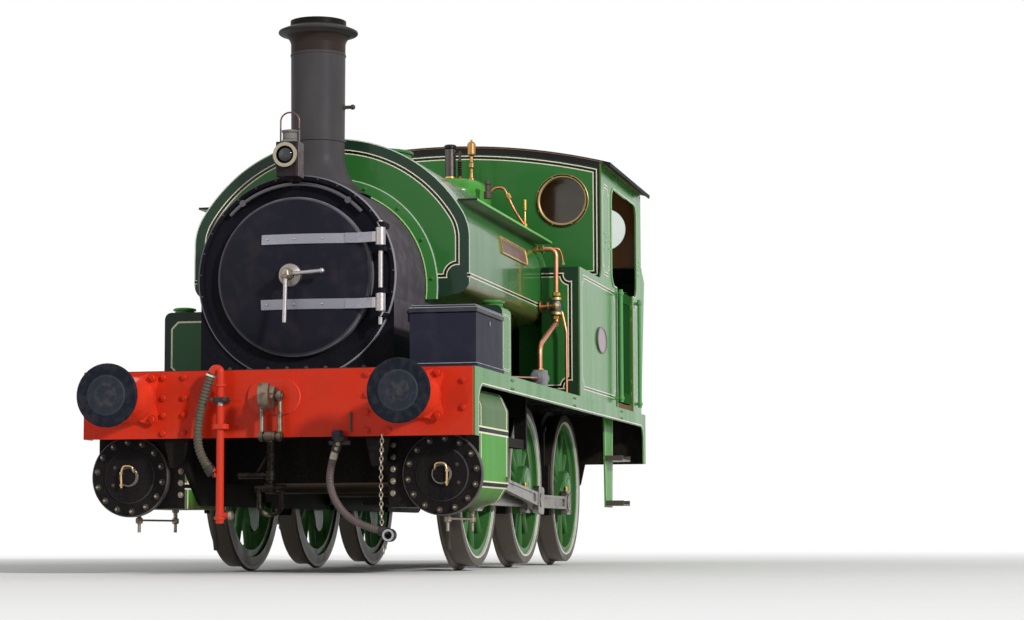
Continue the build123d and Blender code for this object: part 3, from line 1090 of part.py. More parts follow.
def crank_place(angle):
    """Offset in Y and Z of a crank pin from its axle."""
    return -CRANK_THROW * cos(radians(angle)), -CRANK_THROW * sin(radians(angle))


# Coupling rods across the three crank pins: fluted bars with a square-cornered end block and an oil cup at
# each pin
ROD_DEPTH = 92
FLUTE_DEPTH = 10
FLUTE_EDGE = 20


def coupling_rod(angle):
    dy, dz = crank_place(angle)
    z = AXLE_Z + dz
    pins = [back(axle) + dy for axle in AXLES]
    bar = block(rod_inner, rod_outer, pins[0], pins[2], z - ROD_DEPTH / 2, z + ROD_DEPTH / 2)
    for first, second in zip(pins, pins[1:]):
        flute = Pos((first + second) / 2, z) * SlotOverall(second - first - 300, ROD_DEPTH - 2 * FLUTE_EDGE)
        bar -= along(flute, rod_outer - FLUTE_DEPTH, rod_outer + 1)
    for y in pins:
        bar += along(Pos(y, z) * RectangleRounded(2 * ROD_END_HALF, 2 * ROD_END_HALF, 26), rod_inner, rod_outer)
        bar += bar_z(z + ROD_END_HALF - 2, z + ROD_END_HALF + OIL_CUP, (rod_inner + rod_outer) / 2, y, 15)
    for y, fit in zip(pins, (ROD_FIT, HINGE_FIT, ROD_FIT)):
        bar -= bar_x(rod_inner - 1, rod_outer + 1, y, z, CRANK_PIN_RADIUS + fit)
    return bar


save("coupling_rod_left", coupling_rod(CRANK_ANGLE))
save("coupling_rod_right", mirror(coupling_rod(CRANK_ANGLE + 90), about=Plane.YZ))

# Crossheads on their piston rods, and the connecting rods with fluted shafts
GUDGEON_RADIUS = 28
FORK_HALF = 35
CHEEK = 12
SMALL_END_RADIUS = 52
BIG_END_HALF = 92
SMALL_SHAFT_HALF = 34
GLAND_GRIP = 46
SLIPPER_WALL = 12
SLIPPER_PLATE = 24
piston_rod_length = driving - ROD_LENGTH + CRANK_THROW - GLAND_REAR + GLAND_GRIP


def crosshead_place(angle):
    """Y of the crosshead's pin for a crank angle."""
    dy, dz = crank_place(angle)
    return back(driving) + dy - sqrt(ROD_LENGTH ** 2 - dz ** 2)


def crosshead(angle):
    y = crosshead_place(angle)
    x0 = cylinder_x - FORK_HALF
    x1 = cylinder_x + FORK_HALF
    solid = bar_y(y - piston_rod_length, y - 80, cylinder_x, AXLE_Z, PISTON_ROD_RADIUS)
    solid += bar_y(y - 170, y - 130, cylinder_x, AXLE_Z, 46)
    solid += block(x0, x1, y - 140, y - 78, AXLE_Z - 60, AXLE_Z + 60)
    cheek = outline((y - 80, AXLE_Z - 60), (y + 60, AXLE_Z - 60), (y + 60, AXLE_Z + 110),
                    (y - 80, AXLE_Z + 110))
    cheek = rounded(cheek, 40, lambda corner: corner.X > y and corner.Y < AXLE_Z)
    for near, far in ((x0, x0 + CHEEK), (x1 - CHEEK, x1)):
        solid += along(cheek, near, far)
    solid += block(x0, x1, y - 80, y + 60, AXLE_Z + 100, slide_bar_bottom - 8)
    slipper = block(x0 - SLIPPER_WALL, x1 + SLIPPER_WALL, y - SLIPPER_LENGTH / 2, y + SLIPPER_LENGTH / 2,
                    slide_bar_bottom - SLIPPER_PLATE, slide_bar_top + SLIPPER_PLATE)
    slipper -= block(cylinder_x - SLIDE_BAR_HALF - ROD_FIT, cylinder_x + SLIDE_BAR_HALF + ROD_FIT,
                     y - SLIPPER_LENGTH, y + SLIPPER_LENGTH, slide_bar_bottom - ROD_FIT,
                     slide_bar_top + ROD_FIT)
    return solid + slipper + bar_x(x0, x1, y, AXLE_Z, GUDGEON_RADIUS)


def connecting_rod(angle):
    """Made level with its small end at the origin, then turned and placed."""
    shaft_end = ROD_LENGTH - 60
    taper = outline((20, -SMALL_SHAFT_HALF), (shaft_end, -CON_ROD_DEPTH), (shaft_end, CON_ROD_DEPTH),
                    (20, SMALL_SHAFT_HALF))
    shaft = along(taper, 4 - CON_ROD_HALF, CON_ROD_HALF - 4)
    flute = outline((110, -16), (shaft_end - 110, -28), (shaft_end - 110, 28), (110, 16))
    flute = fillet(flute.vertices(), 12)
    shaft -= along(flute, CON_ROD_HALF - 12, CON_ROD_HALF)
    solid = shaft + bar_x(-CON_ROD_HALF, CON_ROD_HALF, 0, 0, SMALL_END_RADIUS)
    big_end = Pos(ROD_LENGTH, 0) * RectangleRounded(2 * BIG_END_HALF, 2 * BIG_END_HALF, 24)
    solid += along(big_end, -CON_ROD_HALF, CON_ROD_HALF)
    solid += bar_x(-CON_ROD_HALF - BIG_END_PLUG, CON_ROD_HALF + 6, ROD_LENGTH, 0, CRANK_PIN_RADIUS)
    solid -= bar_x(-CON_ROD_HALF - 1, CON_ROD_HALF + 1, 0, 0, GUDGEON_RADIUS + HINGE_FIT)
    tilt = degrees(asin(crank_place(angle)[1] / ROD_LENGTH))
    return Pos(cylinder_x, crosshead_place(angle), AXLE_Z) * (Rot(tilt, 0, 0) * solid)


save("crosshead_left", crosshead(CRANK_ANGLE))
save("crosshead_right", mirror(crosshead(CRANK_ANGLE + 90), about=Plane.YZ))
save("connecting_rod_left", connecting_rod(CRANK_ANGLE))
save("connecting_rod_right", mirror(connecting_rod(CRANK_ANGLE + 90), about=Plane.YZ))

# Axleboxes in the frames' openings with the leaf springs above them
BOX_HALF = HORN_GAP / 2 - SEAT_GAP
BOX_DEPTH = 135
BOX_RISE = 140
SPRING_LEAF = 16
axleboxes = []
springs = []
for axle in AXLES:
    y = back(axle)
    axlebox = block(FRAME_INNER - 40, WHEEL_BACK - 12, y - BOX_HALF, y + BOX_HALF, AXLE_Z - BOX_DEPTH,
                    AXLE_Z + BOX_RISE)
    axlebox -= bar_x(FRAME_INNER - 60, WHEEL_BACK, y, AXLE_Z, AXLE_RADIUS + HINGE_FIT)
    axleboxes += both_sides(axlebox)
    buckle = AXLE_Z + BOX_RISE
    spring = block(FRAME_INNER - 39, FRAME_INNER - 1, y - 30, y + 30, buckle, buckle + 160)
    for n, share in enumerate((1, 0.76, 0.52, 0.29)):
        leaf_top = buckle + 138 - SPRING_LEAF * n
        spring += block(FRAME_INNER - 95, FRAME_INNER - 15, y - SPRING_REACH * share, y + SPRING_REACH * share,
                        leaf_top - SPRING_LEAF, leaf_top)
    for place in (20 - SPRING_REACH, SPRING_REACH - 20):
        spring += block(FRAME_INNER - 75, FRAME_INNER, y + place - 20, y + place + 20, buckle + 130,
                        buckle + 200)
    springs += both_sides(spring)
save("axleboxes", *axleboxes)
save("leaf_springs", *springs)

# Brake gear: a cast block in front of each wheel on a hanger from the frame
SHOE_THICKNESS = 60
SHOE_CLEARANCE = 6
HANGER_PIN_HEIGHT = 420
tread = WHEEL_DIAMETER / 2
shoe = bar_x(WHEEL_BACK + FLANGE_WIDTH + 12, WHEEL_FACE - 12, 0, 0, tread + SHOE_CLEARANCE + SHOE_THICKNESS)
shoe -= bar_x(WHEEL_BACK, WHEEL_FACE, 0, 0, tread + SHOE_CLEARANCE)
shoe &= block(WHEEL_BACK, WHEEL_FACE, -tread - 90, 0, -210, 150)
hanger_y = -tread - 51
hanger = outline((hanger_y - 22, -30), (hanger_y + 22, -30), (hanger_y + 16, HANGER_PIN_HEIGHT + 20),
                 (hanger_y - 16, HANGER_PIN_HEIGHT + 20))
brake = shoe + along(hanger, WHEEL_BACK + 60, WHEEL_BACK + 100)
brake += bar_x(FRAME_OUTER, WHEEL_BACK + 110, hanger_y, HANGER_PIN_HEIGHT, 20)
brakes = []
for axle in AXLES:
    brakes += both_sides(Pos(0, back(axle), AXLE_Z) * brake)
save("brake_gear", *brakes)

# Cab steps below the doorway: a tapered hanger with two treads whose ends turn up
STEP_INSET = 150
STEP_HANGER = 12
STEP_DROPS = (391, 736)
step_x = HALF_PLATE - STEP_INSET
step_front = back(DOORWAY_FRONT + 170)
step_rear = back(DOORWAY_FRONT + 560)
step_foot = PLATE_UNDER - STEP_DROPS[1] - 12
hanger = outline((step_front, PLATE_UNDER), (step_rear, PLATE_UNDER), (step_rear - 50, step_foot),
                 (step_front + 50, step_foot))
steps = along(hanger, step_x, step_x + STEP_HANGER)
for drop, narrowing in zip(STEP_DROPS, (24, 48)):
    tread_z = PLATE_UNDER - drop
    steps += block(step_x, HALF_PLATE, step_front + narrowing, step_rear - narrowing, tread_z, tread_z + 12)
    for y in (step_front + narrowing, step_rear - narrowing - 10):
        steps += block(step_x, HALF_PLATE, y, y + 10, tread_z, tread_z + 40)
save("cab_steps", *both_sides(steps))

# Steam valve and injector ahead of the left-hand bunker, with their copper pipes, and the lubricator on the
# plate
injector_x = HALF_PLATE - 160
injector_y = back(BUNKER_FRONT - 70)
injector_z = WAIST - 285
feed_z = board_z - 95
injector = turned([(0, -86), (24, -86), (24, -70), (40, -60), (40, -44), (30, -34), (44, 0), (30, 34), (40, 44),
                   (40, 60), (22, 70), (22, 92), (0, 92)], injector_x, injector_y, injector_z)
injector += turned([(0, 0), (22, 0), (22, 40), (34, 46), (34, 62), (12, 66), (12, 100), (44, 102), (44, 114),
                    (0, 116)], injector_x, injector_y, injector_z,
                   "Y").rotate(Axis((injector_x, injector_y, injector_z), (0, 0, 1)), 90)
injector += bar_y(injector_y, back(BUNKER_FRONT), injector_x, injector_z, 24)
injector += pipe([(injector_x, injector_y, injector_z + 60), (injector_x, injector_y, feed_z),
                  (tank_half_width(feed_z) - 30, injector_y, feed_z)], [50], 17) - tank
lubricator_x = HALF_PLATE - 130
lubricator_y = back(BUNKER_FRONT - 790)
lubricator_top = PLATE_TOP + 134
injector += pipe([(injector_x, injector_y, injector_z - 60), (injector_x, injector_y, injector_z - 130),
                  (injector_x + 20, injector_y - 180, injector_z - 150),
                  (lubricator_x, lubricator_y, injector_z - 330),
                  (lubricator_x, lubricator_y, lubricator_top + SEAT_GAP)], [40, 60, 90], 17)
waste_top = (injector_x + 40, injector_y, injector_z - 40)
waste_foot = (injector_x + 70, injector_y, PLATE_TOP + SEAT_GAP)
injector += pipe([(injector_x, injector_y, injector_z - 20), waste_top,
                  (waste_foot[0], injector_y, injector_z - 180), waste_foot], [20, 120], 10)
save("injector", injector)
lubricator = flat(Pos(lubricator_x, lubricator_y) * RectangleRounded(130, 190, 20), PLATE_TOP, PLATE_TOP + 18)
lubricator += flat(Pos(lubricator_x, lubricator_y) * RectangleRounded(90, 130, 20), PLATE_TOP, lubricator_top)
lubricator += turned([(0, -150), (26, -150), (26, -110), (44, -104), (44, -84), (36, -76), (36, 76), (44, 84),
                      (44, 104), (22, 110), (22, 150), (0, 150)], lubricator_x, lubricator_y, PLATE_TOP + 84,
                     "Y")
save("lubricator", lubricator)

# Lamp on its bracket at the top of the smokebox front: a square case with a lens ring, a vent and a carrying
# bail
LAMP_WIDTH = 140
LAMP_DEPTH = 130
LAMP_CASE = 208
LENS_RADIUS = 74
BAIL_HALF = 58
BAIL_HEIGHT = 185
BAIL_BAR = 5
lamp_y = back(SMOKEBOX_FRONT - 150)
lens_z = smokebox_top + 90
lamp_foot = lens_z - 124
lamp_top = lamp_foot + LAMP_CASE
lamp = flat(Pos(0, lamp_y) * RectangleRounded(LAMP_WIDTH, LAMP_DEPTH, 14), lamp_foot, lamp_top)
lamp += turned([(0, lamp_top), (62, lamp_top), (46, lamp_top + 16), (44, lamp_top + 20), (44, lamp_top + 62),
                (50, lamp_top + 66), (50, lamp_top + 74), (0, lamp_top + 84)], 0, lamp_y, 0)
lens = turned([(0, 0), (LENS_RADIUS - 6, 0), (LENS_RADIUS - 6, 20), (LENS_RADIUS, 24), (LENS_RADIUS, 36),
               (50, 36), (46, 22), (0, 30)], direction="Y")
lamp += Pos(0, lamp_y - LAMP_DEPTH / 2, lens_z) * (Rot(0, 0, 180) * lens)
lamp += pipe([(-BAIL_HALF, lamp_y, lamp_top - 30), (-BAIL_HALF, lamp_y, lamp_top + BAIL_HEIGHT),
              (BAIL_HALF, lamp_y, lamp_top + BAIL_HEIGHT), (BAIL_HALF, lamp_y, lamp_top - 30)], [54, 54],
             BAIL_BAR)
lamp += block(-25, 25, lamp_y, smokebox_front, lamp_foot - 10, lamp_foot)
lamp += block(-25, 25, smokebox_front - 10, smokebox_front, lamp_foot - 43, lamp_foot)
save("lamp", lamp)
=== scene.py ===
import math
import bmesh
import bpy
import numpy as np
from mathutils import Matrix, Vector


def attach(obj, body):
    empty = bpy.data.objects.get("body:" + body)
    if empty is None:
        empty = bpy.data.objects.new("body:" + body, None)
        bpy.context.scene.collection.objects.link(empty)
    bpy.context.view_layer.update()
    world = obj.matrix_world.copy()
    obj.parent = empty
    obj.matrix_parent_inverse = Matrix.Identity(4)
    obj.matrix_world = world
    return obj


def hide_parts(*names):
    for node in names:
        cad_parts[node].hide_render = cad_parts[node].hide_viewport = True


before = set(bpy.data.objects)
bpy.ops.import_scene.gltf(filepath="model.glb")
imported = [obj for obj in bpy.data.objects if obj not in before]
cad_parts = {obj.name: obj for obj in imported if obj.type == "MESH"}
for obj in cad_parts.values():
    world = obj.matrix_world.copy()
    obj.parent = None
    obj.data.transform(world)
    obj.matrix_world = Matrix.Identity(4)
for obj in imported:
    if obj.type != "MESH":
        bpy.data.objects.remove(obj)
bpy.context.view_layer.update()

# The camera stands low beside the track, ahead of the left-hand buffer, and looks back along the locomotive
# with a long lens. Its axes are worked out from a compass turn, an upward tilt and a slight roll.
yaw, pitch, roll = (math.radians(angle) for angle in (-12.45, 5.305, -0.231))
ahead = Vector((math.sin(yaw) * math.cos(pitch), math.cos(yaw) * math.cos(pitch), math.sin(pitch)))
level = Vector((math.cos(yaw), -math.sin(yaw), 0))
upright = level.cross(ahead)
right = math.cos(roll) * level + math.sin(roll) * upright
top = -math.sin(roll) * level + math.cos(roll) * upright
stance = Matrix((right, top, -ahead)).transposed().to_4x4()
lens = bpy.data.cameras.new("photograph")
lens.lens = 85.5
lens.clip_end = 200
camera = bpy.data.objects.new("photograph", lens)
camera.matrix_world = Matrix.Translation((4.4, -16.551, 0.22)) @ stance
bpy.context.scene.collection.objects.link(camera)
bpy.context.scene.camera = camera
bpy.context.scene.view_settings.view_transform = "Standard"


# The studio: a wide pale floor that fades to white far away, a white sky, a low sun on the locomotive's
# left-hand side, as in the picture, and a weak soft lamp on its other side.
def shell(name, points, faces, finish, smooth=40):
    """Mesh object of points and faces, its doubles merged and its faces turned outwards. Edges that bend more
    than the smooth angle stay sharp."""
    mesh = bpy.data.meshes.new(name)
    mesh.from_pydata(np.asarray(points).tolist(), [], faces)
    work = bmesh.new()
    work.from_mesh(mesh)
    bmesh.ops.remove_doubles(work, verts=work.verts, dist=1e-6)
    bmesh.ops.recalc_face_normals(work, faces=work.faces)
    work.to_mesh(mesh)
    work.free()
    mesh.polygons.foreach_set("use_smooth", np.ones(len(mesh.polygons), bool))
    mesh.set_sharp_from_angle(angle=math.radians(smooth))
    mesh.materials.append(finish.material)
    piece = bpy.data.objects.new(name, mesh)
    bpy.context.scene.collection.objects.link(piece)
    return piece


def surface(name, grids, finish, closed=False, ends=True, smooth=40):
    """Mesh over grids of points, each with rows and columns. Neighbouring points make four-sided faces, and
    each row's last point joins its first. Closed joins the last row to the first, and ends fills the two end
    rows where they aren't joined."""
    grids = np.asarray(grids, float)
    grids = grids if grids.ndim == 4 else grids[None]
    index = np.arange(grids.size // 3).reshape(grids.shape[:3])
    ring = np.concatenate([index, index[:, :, :1]], 2)
    ring = np.concatenate([ring, ring[:, :1]], 1) if closed else ring
    faces = np.stack([ring[:, :-1, :-1], ring[:, :-1, 1:], ring[:, 1:, 1:], ring[:, 1:, :-1]], -1)
    faces = faces.reshape(-1, 4).tolist()
    if ends and not closed:
        faces += index[:, 0].tolist() + index[:, -1, ::-1].tolist()
    return shell(name, grids.reshape(-1, 3), faces, finish, smooth)


class Field:
    """A number or colour that changes over a surface: one output of a tree's nodes. Python's operators
    combine them, with | for the greater of two."""

    def __init__(self, tree, socket):
        self.tree, self.socket = tree, socket

    def beside(self, output):
        """Another output of the same node."""
        return Field(self.tree, self.socket.node.outputs[output])

    def __rsub__(self, number):
        """A number less the field."""
        return self.tree.node("ShaderNodeMath", {"operation": "SUBTRACT"}, [number, self])


def maths(operation):
    """Operator that puts a maths node on a field and on what it is combined with."""
    return lambda self, *other: self.tree.node("ShaderNodeMath", {"operation": operation}, [self, *other])


for sign, operation in (("add", "ADD"), ("sub", "SUBTRACT"), ("mul", "MULTIPLY"), ("pow", "POWER"),
                        ("abs", "ABSOLUTE"), ("lt", "LESS_THAN"), ("gt", "GREATER_THAN"), ("or", "MAXIMUM")):
    setattr(Field, f"__{sign}__", maths(operation))


class Tree:
    """A tree of shader nodes, which are added as they are used."""

    def __init__(self, owner):
        owner.use_nodes = True
        self.nodes, self.links = owner.node_tree.nodes, owner.node_tree.links

    def node(self, kind, settings, inputs, output=0):
        """Adds a node: its settings, then its sockets in order or by name, as numbers, colours or fields."""
        node = self.nodes.new(kind)
        for key, value in settings.items():
            setattr(node, key, value)
        for key, value in inputs.items() if isinstance(inputs, dict) else enumerate(inputs):
            if isinstance(value, Field):
                self.links.new(value.socket, node.inputs[key])
            else:
                node.inputs[key].default_value = value
        return Field(self, node.outputs[output])

    def spread(self, field, low, high, start=0.0, end=1.0):
        """Field from low to high carried over to start and end, and held there outside them."""
        return self.node("ShaderNodeMapRange", {"clamp": True}, [field, low, high, start, end])


class Finish(Tree):
    """A material. The shader's constants are given by name."""

    def __init__(self, name, **constants):
        self.material = bpy.data.materials.new(name)
        super().__init__(self.material)
        self.shader = self.nodes["Principled BSDF"]
        for socket, value in constants.items():
            self.shader.inputs[socket.replace("_", " ")].default_value = value
        self.place = self.node("ShaderNodeTexCoord", {}, (), "Object")
        self.x = self.node("ShaderNodeSeparateXYZ", {}, [self.place])
        self.y, self.z = self.x.beside("Y"), self.x.beside("Z")

    def cloud(self, scale, detail=3, stretch=(1, 1, 1)):
        """Cloudy variation between 0 and 1. A stretch below 1 draws the clouds out along that axis."""
        place = self.node("ShaderNodeMapping", {}, {"Vector": self.place, "Scale": stretch})
        return self.node("ShaderNodeTexNoise", {}, {"Vector": place, "Scale": scale, "Detail": detail})

    def patches(self, scale, detail, low, high, most=1.0, stretch=(1, 1, 1)):
        """Mask of patches that rise from 0 to the most where the clouds lie between low and high."""
        return self.spread(self.cloud(scale, detail, stretch), low, high, 0, most)

    def mix(self, factor, first, second):
        """Colour between two colours."""
        return self.node("ShaderNodeMix", {"data_type": "RGBA"}, {0: factor, 6: first, 7: second}, 2)

    def lay(self, colour, marks):
        """Colour with marks laid over it in turn, each a mask and its colour."""
        for mask, mark in marks:
            colour = self.mix(mask, colour, mark)
        return colour

    def bump(self, height, depth):
        """Normal of a surface that the height raises by up to the depth, in metres."""
        sockets = {"Strength": 1.0, "Distance": depth, "Height": height}
        return self.node("ShaderNodeBump", {}, sockets, "Normal")

    def dress(self, **fields):
        """Links fields to the shader's sockets."""
        for socket, field in fields.items():
            self.links.new(field.socket, self.shader.inputs[socket.replace("_", " ")])
        return self


def tone(red, green, blue):
    """Colour as it shows on a screen, from 0 to 255, turned into light."""
    parts = np.array([red, green, blue]) / 255
    light = np.where(parts < 0.04045, parts / 12.92, ((parts + 0.055) / 1.055) ** 2.4)
    return (*light.tolist(), 1.0)


def reach(first, second):
    """Length of a slope whose level and upright parts are the two fields."""
    return (first * first + second * second) ** 0.5


pale = Finish("studio_floor", Roughness=0.9, Specular_IOR_Level=0.1)
pale.dress(Base_Color=pale.mix(pale.cloud(0.6), tone(240, 240, 238), tone(247, 247, 245)))
ray = pale.node("ShaderNodeLightPath", {}, (), "Is Camera Ray")
far = pale.spread(reach(pale.x, pale.y), 4.0, 15) * (ray | ray.beside("Is Glossy Ray"))
glow = pale.node("ShaderNodeEmission", {}, [(1, 1, 1, 1), 1.0])
faded = pale.node("ShaderNodeMixShader", {}, [far, Field(pale, pale.shader.outputs[0]), glow])
pale.links.new(faded.socket, pale.nodes["Material Output"].inputs["Surface"])
reach_out = np.concatenate([[0], np.geomspace(0.5, 95, 40)])[:, None, None]
turn = np.linspace(0, 2 * math.pi, 97)[:-1]
floor_disc = reach_out * np.column_stack([np.cos(turn), np.sin(turn), 0 * turn])
surface("floor", floor_disc, pale, ends=False)

sky = bpy.data.worlds.new("studio")
bpy.context.scene.world = sky
air = Tree(sky)
ray = air.node("ShaderNodeLightPath", {}, (), "Is Camera Ray")
seen = ray | ray.beside("Is Glossy Ray") | ray.beside("Is Transmission Ray")
background = air.nodes["Background"]
background.inputs["Color"].default_value = (1, 1, 1, 1)
air.links.new(air.spread(seen, 0, 1, 0.4, 1.0).socket, background.inputs["Strength"])
for name, toward, power, width in (("sun", (0.72, -0.55, 0.38), 2.6, 5),
                                   ("fill", (-0.75, -0.6, 0.35), 0.3, 50)):
    lamp = bpy.data.lights.new(name, "SUN")
    lamp.energy, lamp.angle = power, math.radians(width)
    holder = bpy.data.objects.new(name, lamp)
    holder.rotation_euler = Vector(toward).to_track_quat("Z", "Y").to_euler()
    bpy.context.scene.collection.objects.link(holder)


# The brake hose: rubber on a wound wire that shows as ribs, held by a bright clip on the standpipe's swan
# neck. It hangs in one loose bend, and its coupling is parked on the pipe.
def behind(distance):
    """Y, in metres, of a place given in millimetres behind the front beam's face."""
    return distance / 1000 - 3.04


def route(name, points):
    """Smooth line through a hose's route, read from a NURBS curve as an array of points."""
    curve = bpy.data.curves.new(name, "CURVE")
    curve.dimensions = "3D"
    spline = curve.splines.new("NURBS")
    spline.points.add(len(points) - 1)
    spline.points.foreach_set("co", np.column_stack([points, np.ones(len(points))]).ravel())
    spline.order_u, spline.use_endpoint_u, spline.resolution_u = 3, True, 24
    holder = bpy.data.objects.new(name, curve)
    line = bpy.data.meshes.new_from_object(holder)
    bpy.data.objects.remove(holder)
    return np.array([vertex.co for vertex in line.vertices])


def resampled(points, count):
    """Points evenly spaced along a line, by its running length, and that length."""
    lengths = np.concatenate([[0], np.cumsum(np.linalg.norm(np.diff(points, axis=0), axis=1))])
    wanted = np.linspace(0, lengths[-1], count)
    return np.column_stack([np.interp(wanted, lengths, points[:, axis]) for axis in range(3)]), lengths[-1]


def unit(vectors):
    """Vectors divided by their lengths."""
    vectors = np.asarray(vectors, float)
    return vectors / np.linalg.norm(vectors, axis=-1, keepdims=True)


def carried(path, section, side=(0.37, 0.21, 0.9)):
    """A section carried along a path. Each point is the path's point, plus the section's first number along
    the part of the side that is square to the path, plus its second along the direction square to both. The
    section is one outline, or one for each point of the path. A tangent is the mean of the runs beside it."""
    path = np.asarray(path, float)
    runs = unit(np.diff(path, axis=0))
    tangent = unit(np.vstack([runs[:1], runs[:-1] + runs[1:], runs[-1:]]))
    side = np.broadcast_to(unit(side), path.shape)
    across = unit(side - tangent * np.sum(tangent * side, 1, keepdims=True))
    normal = np.cross(tangent, across)
    section = np.broadcast_to(section, (len(path),) + np.shape(section)[-2:])
    return path[:, None] + section[..., :1] * across[:, None] + section[..., 1:] * normal[:, None]


def circle(count):
    """Unit circle as a section."""
    turn = np.arange(count) * 2 * math.pi / count
    return np.column_stack([np.cos(turn), np.sin(turn)])


def fit(piece, body="locomotive"):
    """Fixes a piece to the body that it moves with."""
    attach(piece, body)


def paint_node(finish, *nodes):
    """Gives CAD nodes a finish."""
    for node in nodes:
        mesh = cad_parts[node].data
        mesh.materials.clear()
        mesh.materials.append(finish.material)


def rubber(name, first, second, shine, grime_scale, roughness, grain_scale, depth):
    """Rubber: two tones in clouds of grime that dull it, and a fine grain."""
    hide = Finish(name, Specular_IOR_Level=shine)
    grime = hide.cloud(grime_scale, 4)
    return hide.dress(Base_Color=hide.mix(grime, first, second),
                      Roughness=hide.spread(grime, 0.3, 0.7, roughness, roughness + 0.3),
                      Normal=hide.bump(hide.cloud(grain_scale, 2), depth))


def hose(name, node, y, points, count, ribs, finish, **facts):
    """Stiff hose that takes a node's place, through points given in millimetres to the left of the middle and
    below the running plate. Its radius is the least radius, plus the ribs' height times the squared cosine of
    a turn that grows evenly along it."""
    points = np.array(points) / 1000
    points = np.column_stack([points[:, 0], np.full(len(points), y), PLATE_TOP - points[:, 1]])
    line, length = resampled(route(name, points), count)
    least, height, turns = ribs
    radius = least + height * np.cos(np.linspace(0, 1, count) * turns * math.pi) ** 2
    piece = surface(name, carried(line, radius[:, None, None] * circle(20), (0, 1, 0)), finish)
    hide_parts(node)
    fit(piece)
    return line


PLATE_TOP = 1.194
PIPE_Y = behind(-90)
ribbed_rubber = rubber("ribbed_rubber", tone(58, 53, 43), tone(98, 92, 76), 0.35, 30, 0.5, 300, 0.0005)
brake_line = hose("brake_hose_ribbed", "brake_hose", PIPE_Y,
                  [(-353, 24), (-391, 122), (-426, 251), (-443, 383), (-424, 499), (-369, 575)],
                  460, (0.0222, 0.0048, 29), ribbed_rubber, diameter=0.054, far_end="object")

# The steam heating hose: thick wrapped rubber that hangs from the cock under the beam, bends under its own
# weight and ends in the iron coupling head.
COCK_Y = behind(-60)
smooth_rubber = rubber("smooth_rubber", tone(66, 57, 56), tone(100, 86, 84), 0.3, 22, 0.4, 240, 0.0004)
heat_line = hose("heating_hose_rubber", "heating_hose", COCK_Y,
                 [(386, 486), (358, 574), (351, 672), (384, 769), (452, 854), (548, 912), (650, 940)],
                 320, (0.0206, 0.0014, 34), smooth_rubber, diameter=0.044, far_end="fitting",
                 with_pieces=[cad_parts["heating_coupling"]])

# Main frames, axleboxes, springs and brakes: thick steel plates and castings, brush painted black and covered
# in road dust and oil. They are bolted and riveted together between the wheels.
DUST = tone(104, 92, 76)
CREAM = tone(226, 224, 196)
INK_BLACK = tone(14, 14, 16)


def no_marks(paint):
    """Marks of a plain sheet."""
    return ()


def enamel(name, colour, marks=no_marks, gloss=0.16, coat=0.15, dust=0.35, bare=None, bare_gloss=0.3,
           shine=0.14):
    """Painted metal: clouds of fading, thin streaks, and dust that settles low down and in patches. Marks
    gives masks and colours that are laid over the paint. Bare gives the masks of metal parts left unpainted,
    with their colours, and shine how much the bare enamel mirrors."""
    paint = Finish(name, Coat_Roughness=0.04, Specular_IOR_Level=shine)
    broad, streak, fine = paint.cloud(1.4, 4), paint.cloud(8, 4, (1, 1, 0.1)), paint.cloud(70, 3)
    darker = tuple(0.86 * part for part in colour[:3]) + (1.0,)
    lighter = tuple(min(1, 1.12 * part) for part in colour[:3]) + (1.0,)
    shade = paint.lay(paint.mix(broad, darker, lighter), marks(paint))
    lowness = paint.spread(paint.z, 0.25, 1.5, 1.0, 0.22)
    settled = paint.spread(streak * 0.5 + fine * 0.5, 0.4, 0.72) * lowness * dust
    roughness = paint.spread(streak * 0.5 + broad * 0.5, 0.3, 0.7, gloss, gloss + 0.14) + settled * 0.5
    coating = (1 - settled) * coat
    if bare:
        metal_parts = bare(paint)
        metal = metal_parts[0][0]
        for mask, _ in metal_parts[1:]:
            metal = metal | mask
        shade = paint.lay(shade, metal_parts)
        tooled = paint.spread(fine, 0.3, 0.7, bare_gloss, bare_gloss + 0.2)
        roughness = roughness * (1 - metal) + tooled * metal
        coating = coating * (1 - metal)
        paint.dress(Metallic=metal)
    return paint.dress(Base_Color=paint.mix(settled, shade, DUST), Roughness=roughness, Coat_Weight=coating,
                       Normal=paint.bump(fine, 0.0003))


def bare_metal(name, first, second, gloss=0.3, metallic=1.0, grain=60, marks=no_marks, stains=0.0):
    """Unpainted metal: two tones in clouds, fine marks of the tool, and patches of old oil."""
    metal = Finish(name, Metallic=metallic)
    broad, fine = metal.cloud(grain * 0.15, 4), metal.cloud(grain * 5, 2, (1, 0.08, 1))
    shade = metal.lay(metal.mix(broad, first, second), marks(metal))
    oil = metal.patches(9, 4, 0.5, 0.72) * stains
    return metal.dress(Base_Color=metal.mix(oil, shade, tone(58, 46, 34)),
                       Roughness=metal.spread(fine * 0.5 + broad * 0.5, 0.3, 0.7, gloss, gloss + 0.22),
                       Normal=metal.bump(fine, 0.00025))


paint_node(enamel("frame_black", tone(17, 16, 17), gloss=0.45, coat=0.0, dust=0.15, shine=0.04),
           "main_frames", "axleboxes", "leaf_springs", "brake_gear", "slide_bars")

# Buffer beams: thick steel plates across the frame ends, in gloss vermilion, with hexagon bolts that hold the
# frame angles and brackets behind them.
VERMILION = tone(198, 41, 12)
BEAM_FACE = 3.04
SIDES = (("left", 1), ("right", -1))
LEFT, AHEAD, UP = (1, 0, 0), (0, -1, 0), (0, 0, 1)


def beam_marks(paint):
    """Soot in patches and along the top edge, and black on the face towards the frames."""
    inner = abs(paint.y) < BEAM_FACE - 0.031
    return ((paint.patches(5, 5, 0.5, 0.75, 0.35), tone(140, 26, 18)),
            (paint.z > PLATE_TOP - 0.004, tone(70, 26, 22)), (inner, tone(26, 23, 22)))


